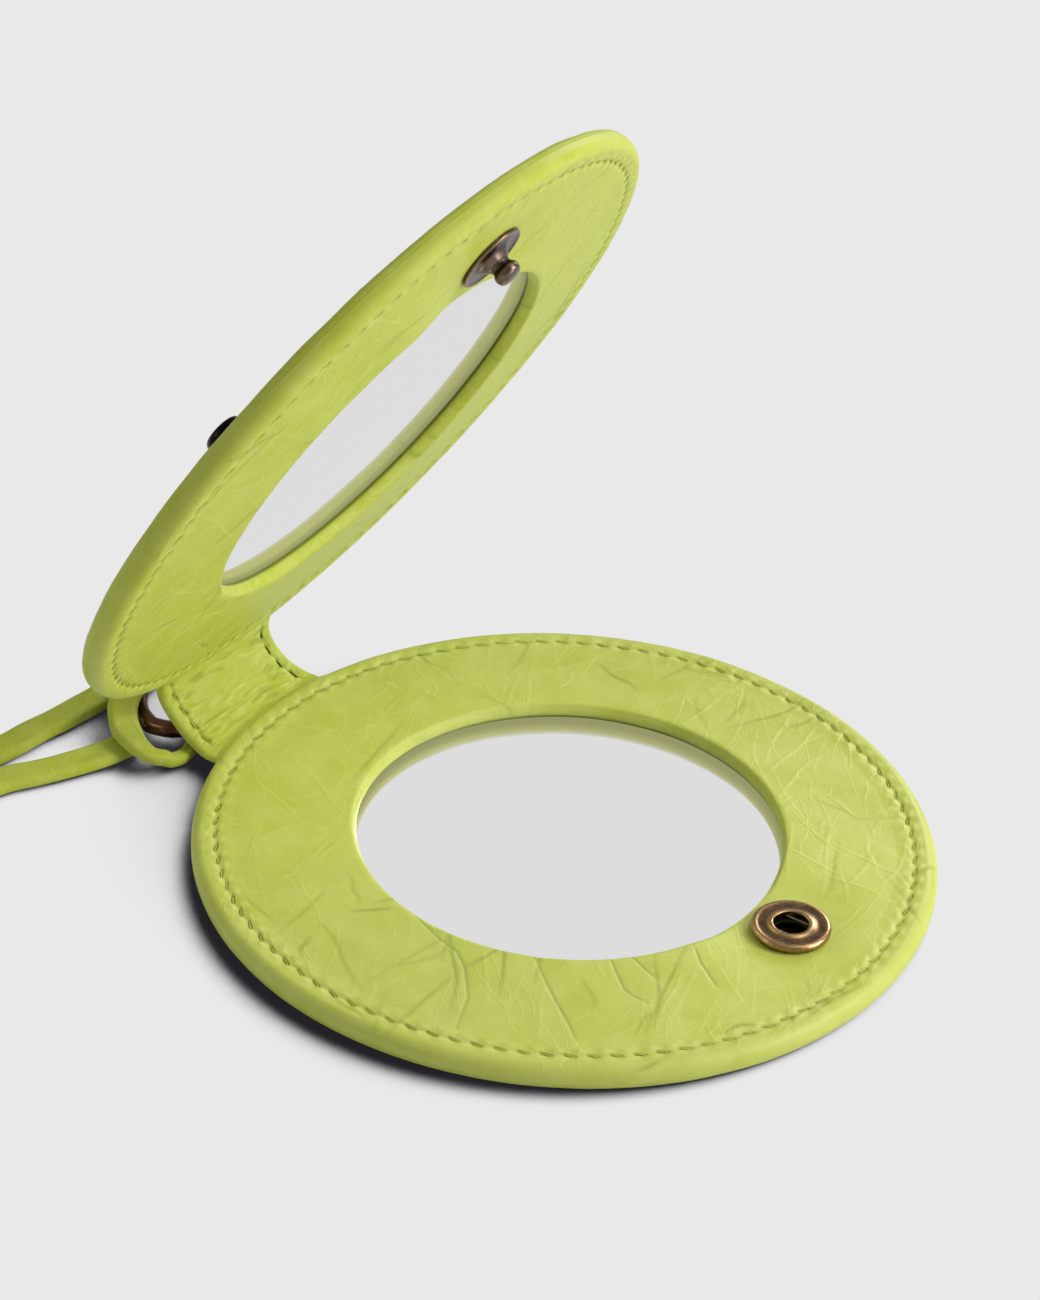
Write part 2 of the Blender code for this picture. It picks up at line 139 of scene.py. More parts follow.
# How dark the painted shade in each stitch hole is, and its half width
stitch_shade_mark = 1.35
hole_shade_half = 0.2 * MM
thread_length = 1.75 * MM
thread_radius = 0.11 * MM

# Snap
snap_low, snap_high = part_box("snap_socket")
snap_reach = (snap_low[0] + snap_high[0]) / 2
snap_seat = 4.9 * MM
snap_fade = 8.5 * MM
snap_pit = 2.9 * MM
snap_pit_depth = 1.15 * MM

# Hinge
fold = next(row for row in frame["record"]["behaviour"]["joints"] if row["name"] == "fold_hinge")
hinge_place = np.array(fold["pos_m"])
opening = math.radians(-fold["range_deg"][0])
upper_drop = 6.56 * MM

# Gusset
gusset_width = 22.8 * MM
gusset_waist = 21.2 * MM
gusset_shift = -1.2 * MM
gusset_half_thick = 0.775 * MM
gusset_tab_half = 0.52 * MM
gusset_bow_share = 0.37
gusset_seam_inset = 1.9 * MM
gusset_pitch = 2.4 * MM
tab_level = 1.815 * MM
tab_reach = 4.0 * MM
tab_steps = 12
spine_steps = 150

# Ring and keeper
swing = next(row for row in frame["record"]["behaviour"]["joints"] if row["name"] == "ring_swing")
ring_place = np.array(swing["pos_m"])
ring_wire = 1.1 * MM
ring_arc = 10.4 * MM
ring_corner = 1.6 * MM
floor_gap = 0.05 * MM
keeper_width = 12.0 * MM
keeper_thick = 0.5 * MM
keeper_gap = 0.2 * MM
keeper_seat_share = 0.42

# Strap, with routes as x from the hinge axis, y and, for the bight, height in millimetres
strap_width = 4.2 * MM
strap_thick = 1.7 * MM
strap_lie = 0.9 * MM
route_steps = 10
strap_route = [
    (-13.7, -6.2), (-13.8, -9.9), (-14.2, -13.1), (-14.6, -16.4), (-15.2, -19.8), (-16.2, -26.5),
    (-18.9, -36.0), (-22.9, -46.0), (-27.7, -56.0), (-32.7, -66.0), (-36.3, -75.0), (-36.9, -83.0),
    (-32.9, -90.0), (-25.5, -91.8), (-18.9, -87.6), (-15.9, -80.0), (-14.9, -70.0), (-14.5, -60.0),
    (-14.2, -50.0), (-13.5, -40.0), (-11.9, -31.5), (-9.2, -26.7), (-6.9, -22.2), (-5.4, -18.6),
    (-4.5, -14.9),
]
bight_route = [
    (-9.3, -8.6, 4.15), (-8.2, -11.4, 3.75), (-6.5, -13.6, 3.2), (-4.1, -15.6, 2.95),
    (-1.6, -16.7, 2.7), (0.3, -16.6, 2.1), (1.5, -15.4, 1.5), (2.0, -14.7, 1.05),
]
# A curl from a hidden end of the strap to the bight
bight_lead = [
    (-13.75, -7.6, 1.0), (-13.6, -5.2, 1.15), (-12.4, -3.4, 2.3), (-10.5, -3.9, 3.7), (-9.4, -6.2, 4.3),
]
bight_tail = [(2.3, -13.0, 0.7), (2.0, -11.0, 0.47), (1.2, -9.0, 0.47)]

# Folds and wrinkles of a leaf's skin
fold_half = 0.17 * MM
fold_depth = 0.1 * MM
fold_shoulder = 1.2 * MM
fold_shoulder_height = 0.07 * MM
lip_wander = 0.06 * MM
skin_step = 10 * MM
outer_sink = 0.1 * MM
calm_share = 0.85

# Seeded short creases of a leaf's skin
crease_count = 220
crease_ways_deg = (60, 85, 100, 125, 125, 170)
crease_spread_deg = 16
crease_lengths = (4 * MM, 20 * MM)
crease_bend_share = 0.05
crease_half = 0.16 * MM
valley_share = 1.8
crease_height = 0.05 * MM

# Folds of the lower leaf's inner skin, as pixels of the photograph
lower_folds = [
    [(406, 913), (424, 931), (440, 946), (456, 957), (464, 972), (468, 1000), (456, 1029)],
    [(530, 956), (547, 990), (556, 1006), (569, 1026), (576, 1041)],
    [(608, 962), (615, 978), (624, 994), (633, 1000), (648, 1006)],
    [(624, 958), (640, 972), (655, 984)],
    [(690, 944), (700, 968), (716, 990)],
]

# Press snap and dome stud, as (radius, level, wear) rows in millimetres
socket_rows = [
    (2.1, 3.19, 0.0), (2.1, 3.5, 0.0), (2.1, 4.22, 0.2), (2.15, 4.36, 0.9), (2.3, 4.42, 1.0),
    (2.55, 4.41, 1.0), (2.75, 4.33, 0.8), (3.0, 4.24, 0.35), (3.3, 4.2, 0.25), (3.7, 4.2, 0.25),
    (3.95, 4.22, 0.4), (4.15, 4.27, 0.75), (4.35, 4.27, 1.0), (4.55, 4.2, 0.95), (4.7, 4.05, 0.8),
    (4.75, 3.85, 0.6), (4.72, 3.6, 0.45), (4.6, 3.35, 0.3), (4.5, 3.19, 0.1),
]
stud_rows = [
    (0.0, 4.4, 0.0), (1.35, 4.4, 0.0), (1.35, 3.19, 0.0), (4.15, 3.19, 0.3), (4.36, 3.3, 0.6),
    (4.42, 3.45, 0.9), (4.4, 3.6, 1.0), (4.28, 3.68, 1.0), (4.1, 3.64, 0.85), (3.9, 3.54, 0.6),
    (3.4, 3.5, 0.5), (2.9, 3.54, 0.5), (2.4, 3.68, 0.55), (2.05, 3.92, 0.65), (1.8, 4.2, 0.7),
    (1.6, 4.45, 0.8), (1.52, 4.52, 0.8), (1.4, 4.62, 0.5), (1.3, 4.75, 0.4), (1.3, 5.1, 0.4),
    (1.38, 5.26, 0.6), (1.55, 5.42, 0.7), (1.66, 5.75, 0.75), (1.62, 6.15, 0.8), (1.46, 6.48, 0.8),
    (1.12, 6.7, 0.82), (0.6, 6.81, 0.82), (0.0, 6.84, 0.82),
]
dome_rows = [
    (0.0, -1.86, 1.0), (1.1, -1.85, 1.0), (1.75, -1.81, 0.95), (2.15, -1.68, 0.9), (2.38, -1.42, 0.85),
    (2.48, -1.05, 0.8), (2.5, -0.6, 0.7), (2.5, -0.05, 0.5), (0.0, -0.03, 0.0),
]
least_row_radius = 0.02
dome_place = (16.46 * MM, 34.36 * MM)
spring_wire = 0.22 * MM
spring_level = 3.73 * MM
spring_way = [
    (3.43, 1.54), (0.0, 1.54), (-2.57, 1.54), (-3.53, 0.77), (-3.76, 0.0),
    (-3.53, -0.77), (-2.57, -1.54), (0.0, -1.54), (3.43, -1.54),
]

# Wrinkle lines as (size, stretch, turn in degrees, width share, where their patches start)
lower_lines = (
    (5.2 * MM, 3.2, 97, 0.03, 0.38), (4.2 * MM, 3.2, 131, 0.035, 0.42), (1.9 * MM, 2.0, 112, 0.06, 0.52),
)
upper_lines = (
    (3.6 * MM, 2.6, 6, 0.05, 0.36), (3.0 * MM, 2.6, 152, 0.05, 0.42), (1.7 * MM, 1.7, 20, 0.08, 0.42),
)
strap_lines = ((2.6 * MM, 2.4, 84, 0.07, 0.4), (1.2 * MM, 1.8, 110, 0.1, 0.45))
gusset_lines = ((1.6 * MM, 2.6, 4, 0.1, 0.36), (0.9 * MM, 1.8, 30, 0.12, 0.42))
sway_share = 0.45

# Painted reflection: the mirrors see a surface under a glowing olive colour, and these reaches are how far
# their rays run before it turns to plain grey.
# The camera looks along the upper mirror, so its rays run farther for the same height.
painted_reflection_least = 0.6
painted_reflection_turn_share = 0.45
lower_painted_reflection_reach = 4.4 * MM
upper_painted_reflection_reach = 15 * MM

# Floor shadow in layers, as (reach, where the light comes from, least cover, full cover, strength)
shadow_layers = (
    (12 * MM, (0.24, 0.97, 0.0), 0.25, 0.4, 1.0),
    (40 * MM, (0.3, 0.5, 0.81), 0.25, 0.8, 0.35),
)
floor_half = 3.0

# Light
world_level = 0.26
# Lamps as (name, direction, distance, size, power)
lamps = (
    ("key_lamp", (0.75, 0.35, 0.6), 0.6, 0.3, 2.0),
    ("side_lamp", (0.95, 0.1, 0.3), 0.25, 0.1, 0.14),
    ("fill_lamp", (-0.6, -0.7, 0.5), 0.6, 0.3, 0.4),
    ("back_lamp", (-0.05, 0.92, 0.42), 0.6, 0.2, 0.9),
    ("top_lamp", (0.25, 0.35, 0.9), 0.6, 0.3, 0.5),
)


# Numbers

def linear(rgb):
    """Linear colour of an 8-bit sRGB one."""
    shares = [value / lens_bits for value in rgb]
    knee = 0.04045
    return [s / 12.92 if s <= knee else ((s + 0.055) / 1.055) ** 2.4 for s in shares] + [1.0]


def smooth_step(low, high, values):
    part = np.clip((values - low) / (high - low), 0, 1)
    return part * part * (3 - 2 * part)


def bump_share(values, half):
    return np.exp(-(values / half) ** 2)


def noise(points, size, seed):
    """Smooth noise from -1 to 1 over points, with features about size across."""
    side = 32
    table = np.random.default_rng(seed).uniform(-1, 1, (side, side, side))
    place = points / size
    low = np.floor(place).astype(int)
    part = place - low
    part = part * part * (3 - 2 * part)
    total = np.zeros(points.shape[:-1])
    for corner in itertools.product((0, 1), repeat=3):
        at = (low + corner) % side
        weight = np.prod(np.where(corner, part, 1 - part), axis=-1)
        total += weight * table[at[..., 0], at[..., 1], at[..., 2]]
    return total


def smooth_path(points, per_span):
    """Points read from a Catmull-Rom curve through the given points."""
    rows = np.array(points, float)
    rows = np.vstack((2 * rows[0] - rows[1], rows, 2 * rows[-1] - rows[-2]))
    path = []
    for a, b, c, d in zip(rows, rows[1:], rows[2:], rows[3:]):
        for i in range(per_span):
            t = i / per_span
            path.append(
                (2 * b + (c - a) * t + (2 * a - 5 * b + 4 * c - d) * t * t
                 + (3 * b - a - 3 * c + d) * t * t * t) / 2
            )
    path.append(rows[-2])
    return np.array(path)


def unit(rows):
    return rows / np.linalg.norm(rows, axis=-1, keepdims=True)


def raised(plan, level):
    return np.concatenate((plan, level[..., None]), axis=-1)


def run_along(path):
    """Length along a path at each of its points."""
    return np.concatenate(([0], np.cumsum(np.linalg.norm(np.diff(path, axis=0), axis=-1))))


# Meshes

def grid_faces(rows, columns, wrap_rows, wrap_columns):
    """Quads over a grid of points that are numbered row by row."""
    i = np.arange(rows if wrap_rows else rows - 1)
    j = np.arange(columns if wrap_columns else columns - 1)
    i, j = np.meshgrid(i, j, indexing="ij")
    k = (i + 1) % rows
    m = (j + 1) % columns
    quads = np.stack((i * columns + j, i * columns + m, k * columns + m, k * columns + j), axis=-1)
    return quads.reshape(-1, 4).tolist()


def tube_faces(rows, columns):
    """Faces of a sweep whose section closes on itself, with both ends shut by one face."""
    ends = [list(range(columns)), list(range((rows - 1) * columns, rows * columns))[::-1]]
    return grid_faces(rows, columns, False, True) + ends


def domed_faces(rows, columns):
    """Faces of a turned sweep whose ends close on two more points on the axis."""
    faces = grid_faces(rows, columns, False, True)
    for j in range(columns):
        k = (j + 1) % columns
        faces.append([rows * columns, k, j])
        faces.append([rows * columns + 1, (rows - 1) * columns + j, (rows - 1) * columns + k])
    return faces


def add_object(name, data):
    made = bpy.data.objects.new(name, data)
    bpy.context.scene.collection.objects.link(made)
    return made


def enclosed(points, faces):
    """Signed volume inside the faces."""
    total = 0.0
    for size in {len(face) for face in faces}:
        rows = np.array([face for face in faces if len(face) == size])
        first = points[rows[:, 0]]
        for i in range(1, size - 1):
            total += np.sum(first * np.cross(points[rows[:, i]], points[rows[:, i + 1]]))
    return total


def add_mesh(name, points, faces, material, body, sharp_deg=60, marks=None):
    """A closed mesh that faces out, with named values at its points."""
    points = np.asarray(points, float).reshape(-1, 3)
    if enclosed(points - points.mean(axis=0), faces) < 0:
        faces = [face[::-1] for face in faces]
    mesh = bpy.data.meshes.new(name)
    mesh.from_pydata(points.tolist(), [], faces)
    mesh.update()
    mesh.shade_smooth()
    mesh.set_sharp_from_angle(angle=math.radians(sharp_deg))
    mesh.materials.append(material)
    for label, values in (marks or {}).items():
        kind, field = ("FLOAT_VECTOR", "vector") if label == "skin" else ("FLOAT", "value")
        layer = mesh.attributes.new(label, kind, "POINT")
        layer.data.foreach_set(field, np.asarray(values, np.float32).ravel())
    made = add_object(name, mesh)
    if body:
        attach(made, body)
    return made


def lathed(rows, sides, centre):
    """Points of (radius, height) rows turned round an upright axis."""
    angle = np.linspace(0, 2 * math.pi, sides, endpoint=False)
    return np.stack((
        centre[0] + rows[:, :1] * np.cos(angle),
        centre[1] + rows[:, :1] * np.sin(angle),
        np.repeat(rows[:, 1:], sides, axis=1),
    ), axis=-1)


def spun(name, outline, sides, centre, place, material, body, wear_and_highlight=None):
    """A solid of revolution from (radius, height) points, both ends on the axis."""
    inner = np.array(outline[1:-1])
    rows = lathed(inner, sides, centre)
    ends = np.array([(*centre, outline[0][1]), (*centre, outline[-1][1])])
    points = np.vstack((rows.reshape(-1, 3), ends))
    marks = {}
    if wear_and_highlight is not None:
        marks["wear_and_highlight"] = np.concatenate((np.repeat(wear_and_highlight[1:-1], sides), (wear_and_highlight[0], wear_and_highlight[-1])))
    return add_mesh(name, place(points), domed_faces(len(inner), sides), material, body, 40, marks)


def ring_spun(name, outline, sides, centre, place, material, body, wear_and_highlight):
    """A solid of revolution from a closed outline that stays off the axis."""
    rows = np.array(outline)
    points = lathed(rows, sides, centre)
    marks = {"wear_and_highlight": np.repeat(wear_and_highlight, sides)}
    faces = grid_faces(len(rows), sides, True, True)
    return add_mesh(name, place(points), faces, material, body, 40, marks)


def arc(centre_r, centre_z, radius, start_deg, end_deg, steps):
    angles = np.radians(np.linspace(start_deg, end_deg, steps + 1))
    return [(centre_r + radius * math.cos(a), centre_z + radius * math.sin(a)) for a in angles]


def stays(points):
    return points


def opened(points):
    """Points of the upper leaf's own frame, put where the open leaf stands."""
    points = np.asarray(points, float)
    along = np.array((math.cos(opening), 0, math.sin(opening)))
    inward = np.array((math.sin(opening), 0, -math.cos(opening)))
    side = np.array((0, -1, 0))
    reach = points[..., :1] - hinge_place[0]
    height = points[..., 2:] - upper_drop
    return hinge_place + reach * along + points[..., 1:2] * side + height * inward


# Materials

def node(tree, kind, **settings):
    made = tree.nodes.new(kind)
    for label, value in settings.items():
        setattr(made, label, value)
    return made


def maths(tree, operation, one, two=None, clamp=False):
    made = node(tree, "ShaderNodeMath", operation=operation, use_clamp=clamp)
    for socket, value in zip(made.inputs, (one, two)):
        if isinstance(value, bpy.types.NodeSocket):
            tree.links.new(value, socket)
        elif value is not None:
            socket.default_value = value
    return made.outputs[0]


def mixed(tree, share, one, two):
    """A colour between two colours or sockets."""
    made = node(tree, "ShaderNodeMix", data_type="RGBA")
    for label, value in (("Factor_Float", share), ("A_Color", one), ("B_Color", two)):
        socket = next(s for s in made.inputs if s.identifier == label)
        if isinstance(value, bpy.types.NodeSocket):
            tree.links.new(value, socket)
        else:
            socket.default_value = value
    return next(s for s in made.outputs if s.identifier == "Result_Color")


def remap(tree, value, low, high, to_low=0.0, to_high=1.0):
    made = node(tree, "ShaderNodeMapRange", clamp=True)
    for socket, number in zip(made.inputs[1:5], (low, high, to_low, to_high)):
        socket.default_value = number
    tree.links.new(value, made.inputs[0])
    return made.outputs[0]


def noise_node(tree, place, size, detail=2.0, roughness=0.5):
    made = node(tree, "ShaderNodeTexNoise")
    made.inputs["Scale"].default_value = 1 / size
    made.inputs["Detail"].default_value = detail
    made.inputs["Roughness"].default_value = roughness
    tree.links.new(place, made.inputs["Vector"])
    return made


def mark_value(tree, label):
    return node(tree, "ShaderNodeAttribute", attribute_name=label).outputs["Fac"]


def bump(tree, height, distance, strength, normal=None):
    made = node(tree, "ShaderNodeBump")
    made.inputs["Strength"].default_value = strength
    made.inputs["Distance"].default_value = distance
    tree.links.new(height, made.inputs["Height"])
    if normal is not None:
        tree.links.new(normal, made.inputs["Normal"])
    return made.outputs["Normal"]


def new_material(label):
    material = bpy.data.materials.new(label)
    material.use_nodes = True
    tree = material.node_tree
    return material, tree, tree.nodes["Principled BSDF"]


def either(tree, share, one, two):
    """A shader between two others."""
    made = node(tree, "ShaderNodeMixShader")
    for socket, source in zip(made.inputs, (share, one.outputs[0], two.outputs[0])):
        tree.links.new(source, socket)
    return made


def paint_mirror_reflection(tree, shader, reach):
    """The two mirrors see a surface under a painted reflection: a glowing olive colour that turns to plain
    grey over a reach.
    """
    path = node(tree, "ShaderNodeLightPath")
    length = path.outputs["Ray Length"]
    far = remap(tree, length, reach * painted_reflection_turn_share, reach)
    painted_reflection_glow = node(tree, "ShaderNodeEmission")
    tree.links.new(mixed(tree, far, linear(painted_reflection_rgb), linear(painted_mirror_grey_rgb)), painted_reflection_glow.inputs["Color"])
    partly_painted_reflection = either(tree, remap(tree, length, 0.0, reach, painted_reflection_least, 1.0), shader, painted_reflection_glow)
    seen = either(tree, path.outputs["Is Singular Ray"], shader, partly_painted_reflection)
    tree.links.new(seen.outputs[0], tree.nodes["Material Output"].inputs["Surface"])


def set_colour(tree, shader, colour, reach=None):
    tree.links.new(colour, shader.inputs["Base Color"])
    paint_mirror_reflection(tree, shader, reach or lower_painted_reflection_reach)


def wrinkle_lines(tree, skin, size, stretch, turn_deg, width, mask_low):
    """A net of thin lines round uneven cells, which are longer along one direction of the skin."""
    sway = noise_node(tree, skin, size * 1.6, 2.0)
    offset = node(tree, "ShaderNodeVectorMath", operation="MULTIPLY_ADD")
    tree.links.new(sway.outputs["Color"], offset.inputs[0])
    offset.inputs[1].default_value = (size * sway_share,) * 3
    tree.links.new(skin, offset.inputs[2])
    turned = node(tree, "ShaderNodeMapping", vector_type="TEXTURE")
    turned.inputs["Rotation"].default_value = (0.0, 0.0, math.radians(turn_deg))
    turned.inputs["Scale"].default_value = (stretch, 1.0, 1.0)
    tree.links.new(offset.outputs[0], turned.inputs["Vector"])
    cells = node(tree, "ShaderNodeTexVoronoi", feature="DISTANCE_TO_EDGE")
    cells.inputs["Scale"].default_value = 1 / size
    tree.links.new(turned.outputs[0], cells.inputs["Vector"])
    line = remap(tree, cells.outputs["Distance"], 0.0, width, 1.0, 0.0)
    patch = noise_node(tree, skin, size * 2.2, 2.0)
    mask = remap(tree, patch.outputs["Fac"], mask_low, mask_low + 0.2)
    return maths(tree, "MULTIPLY", maths(tree, "MULTIPLY", line, line), mask)


def leather_material(label, lines, specular, painted_light_paleness, line_share=1.0, grain_share=1.0, reach=None):
    """Glazed lambskin: mottled, with fine pale wrinkle lines as painted highlight, painted highlight on
    raised creases and puckers, painted shade in its folds, creases, stitch holes and pits, and a grain.
    """
    material, tree, shader = new_material(label)
    skin = node(tree, "ShaderNodeAttribute", attribute_name="skin").outputs["Vector"]
    network = None
    for row in lines:
        line = wrinkle_lines(tree, skin, *row)
        network = line if network is None else maths(tree, "MAXIMUM", network, line)
    calm_line = line_share * (1 - calm_share)
    stretched = remap(tree, mark_value(tree, "plain"), 0.0, 1.0, line_share, calm_line)
    network = maths(tree, "MULTIPLY", network, stretched)

    mottle = noise_node(tree, skin, 5 * MM, 4.0)
    cloud = noise_node(tree, skin, 1.7 * MM, 3.0, 0.6)
    speck = noise_node(tree, skin, 0.5 * MM, 3.0, 0.6)
    pale = linear(leather_pale_rgb)
    # A paler base on the lower leaf than on the other leathers is painted light.
    soft = remap(tree, mottle.outputs["Fac"], 0.35, 0.7, painted_light_paleness, painted_light_paleness + 0.4)
    colour = mixed(tree, soft, linear(leather_rgb), pale)
    colour = mixed(tree, remap(tree, cloud.outputs["Fac"], 0.5, 0.75, 0.0, 0.3), colour, pale)
    # The wrinkle lines are a painted highlight.
    colour = mixed(tree, maths(tree, "MULTIPLY", network, 0.5), colour, pale)
    # Painted highlight from the 'pale' mark.
    colour = mixed(tree, maths(tree, "MULTIPLY", mark_value(tree, "pale"), 0.8, clamp=True), colour, pale)
    # Painted shade from the 'fold' mark, near black in holes and pits.
    painted_shade = mark_value(tree, "fold")
    colour = mixed(tree, remap(tree, painted_shade, 0.0, 1.0), colour, linear(leather_deep_rgb))
    colour = mixed(tree, remap(tree, painted_shade, 1.2, 2.0), colour, linear(hollow_shade_rgb))
    set_colour(tree, shader, colour, reach)

    rough = remap(tree, mottle.outputs["Fac"], 0.3, 0.7, 0.4, 0.54)
    tree.links.new(rough, shader.inputs["Roughness"])
    shader.inputs["Specular IOR Level"].default_value = specular
    height = maths(tree, "ADD", network, maths(tree, "MULTIPLY", cloud.outputs["Fac"], 0.6))
    normal = bump(tree, height, 0.05 * MM, 0.5)
    normal = bump(tree, speck.outputs["Fac"], 0.04 * MM, 0.4 * grain_share, normal)
    tree.links.new(normal, shader.inputs["Normal"])
    return material


def flecked_material(label, size, detail, rough_detail, one, two, most, roughness, dent=None):
    """One colour flecked with another, with small dents given as (depth, strength)."""
    material, tree, shader = new_material(label)
    place = node(tree, "ShaderNodeTexCoord").outputs["Object"]
    fleck = noise_node(tree, place, size, detail, rough_detail).outputs["Fac"]
    share = remap(tree, fleck, 0.3, 0.7, 0.0, most)
    set_colour(tree, shader, mixed(tree, share, linear(one), linear(two)))
    shader.inputs["Roughness"].default_value = roughness
    if dent:
        tree.links.new(bump(tree, fleck, *dent), shader.inputs["Normal"])
    return material


def metal_material(label, bright, painted_shade, roughness, grime=0.5, edge=None):
    """Polished metal whose recesses are darker and whose raised edges are worn bright; on wires the same
    mark paints a highlight along the upper half.
    """
    material, tree, shader = new_material(label)
    place = node(tree, "ShaderNodeTexCoord").outputs["Object"]
    tarnish = noise_node(tree, place, 1.6 * MM, 4.0, 0.6)
    scratch = noise_node(tree, place, 0.35 * MM, 3.0, 0.7)
    share = maths(tree, "MULTIPLY", remap(tree, tarnish.outputs["Fac"], 0.35, 0.7), grime)
    wear_and_highlight = mark_value(tree, "wear_and_highlight")
    share = maths(tree, "ADD", share, maths(tree, "SUBTRACT", 1.0, wear_and_highlight), clamp=True)
    colour = mixed(tree, share, linear(bright), linear(painted_shade))
    if edge:
        worn = remap(tree, wear_and_highlight, 0.92, 1.0)
        colour = mixed(tree, worn, colour, linear(edge))
    set_colour(tree, shader, colour)
    shader.inputs["Metallic"].default_value = 1.0
    rough = remap(tree, scratch.outputs["Fac"], 0.3, 0.7, roughness * 0.8, roughness * 1.35)
    tree.links.new(rough, shader.inputs["Roughness"])
    tree.links.new(bump(tree, scratch.outputs["Fac"], 0.03 * MM, 0.15), shader.inputs["Normal"])
    return material


def mirror_material():
    """Silvered glass with a hardly seen haze in its colour."""
    material = flecked_material("mirror_silver", 14 * MM, 2.0, 0.5, silver_rgb, haze_rgb, 0.12, 0.0)
    material.node_tree.nodes["Principled BSDF"].inputs["Metallic"].default_value = 1.0
    return material


# Leather relief

def leather_relief(points, plan, seed):
    """Height of the skin's own wrinkles, with a painted highlight on each raised crease and painted shade
    along each crease valley.
    """
    height = 0.07 * MM * noise(points, 6 * MM, seed + 7)
    height = height + 0.045 * MM * noise(points, 2.4 * MM, seed + 8)
    height = height + 0.012 * MM * noise(points, 0.9 * MM, seed + 9)
    pale = np.zeros(plan.shape[:-1])
    painted_shade = np.zeros(plan.shape[:-1])
    rng = np.random.default_rng(seed)
    for k in range(crease_count):
        reach = leaf_radius * math.sqrt(rng.uniform(0.25, 1))
        turn = rng.uniform(-math.pi, math.pi)
        way = math.radians(rng.choice(crease_ways_deg) + rng.normal(0, crease_spread_deg))
        length = rng.uniform(*crease_lengths)
        bend = length * rng.normal(0, crease_bend_share)
        phase, wave = rng.uniform(0, 2 * math.pi), rng.uniform(2, 6)
        lift = rng.uniform(0.4, 1.0) * rng.choice((1, 1, 1, 1, -1))
        apart = plan - (reach * math.cos(turn), reach * math.sin(turn))
        near = np.hypot(apart[..., 0], apart[..., 1]) < length * 0.6
        along = apart[near] @ (math.cos(way), math.sin(way)) / length * 2
        across = apart[near] @ (-math.sin(way), math.cos(way))
        across = across - bend * (1 - along ** 2) - 0.2 * MM * np.sin(phase + wave * along)
        half = crease_half if lift > 0 else crease_half * valley_share
        line = bump_share(across, half) * np.clip(1 - along ** 2, 0, 1)
        height[near] += crease_height * lift * line
        # Raised creases get a painted highlight, crease valleys painted shade.
        marks = pale if lift > 0 else painted_shade
        marks[near] = np.maximum(marks[near], abs(lift) * line)
    return height, pale * 0.8, painted_shade * 0.45


def line_distance(plan, line):
    """Signed distance from plan points to a line through the given points, and the share along it."""
    best = np.full(plan.shape[:-1], np.inf)
    side = np.zeros(plan.shape[:-1])
    along = np.zeros(plan.shape[:-1])
    spans = len(line) - 1
    for i, (a, b) in enumerate(zip(line, line[1:])):
        a, b = np.array(a), np.array(b)
        span = b - a
        t = np.clip(((plan - a) @ span) / (span @ span), 0, 1)
        apart = plan - (a + t[..., None] * span)
        reach = np.linalg.norm(apart, axis=-1)
        closer = reach < best
        best = np.where(closer, reach, best)
        side = np.where(closer, np.sign(apart[..., 0] * span[1] - apart[..., 1] * span[0]), side)
        along = np.where(closer, (i + t) / spans, along)
    return best * side, along


def seam_relief(across, along_share, pitch, seed):
    """Groove of a seam, with a slanted dimple under each stitch and puckers between them, painted shade in
    each stitch hole and a painted highlight on each pucker.
    """
    index = np.floor(along_share).astype(int)
    along = (along_share - index - 0.5) * pitch
    slack = np.random.default_rng(seed).uniform(0.75, 1.2, index.max() + 2)[index]
    slant = math.radians(stitch_slant_deg)
    u = along * math.cos(slant) + across * math.sin(slant)
    v = across * math.cos(slant) - along * math.sin(slant)
    dimple = np.exp(-(u / dimple_length) ** 4) * bump_share(v, dimple_half)
    pucker = -np.cos(2 * math.pi * along / pitch) * bump_share(np.abs(across) - pucker_reach, pucker_half)
    height = -groove_depth * bump_share(across, groove_half)
    height = height - dimple_depth * slack * dimple + pucker_height * slack * pucker
    # The dark dash in each stitch hole is painted shade; the pale puckers are painted highlight.
    hole_shade = np.exp(-(u / dimple_length) ** 4) * bump_share(v, hole_shade_half)
    return height, np.clip(stitch_shade_mark * slack * hole_shade, 0, stitch_shade_mark), np.clip(pucker * slack, 0, 1) * 0.8


def pixel_on_leaf(pixel, level):
    """Plan place where the camera's ray through a pixel of the photograph meets a level."""
    depth = camera_right.cross(camera_down)
    ray = depth * focal_pixels + camera_right * (pixel[0] - photo_width / 2)
    ray = ray + camera_down * (pixel[1] - photo_height / 2)
    place = camera_place + ray * ((level - camera_place.z) / ray.z)
    return (place.x, place.y)


# Leaves

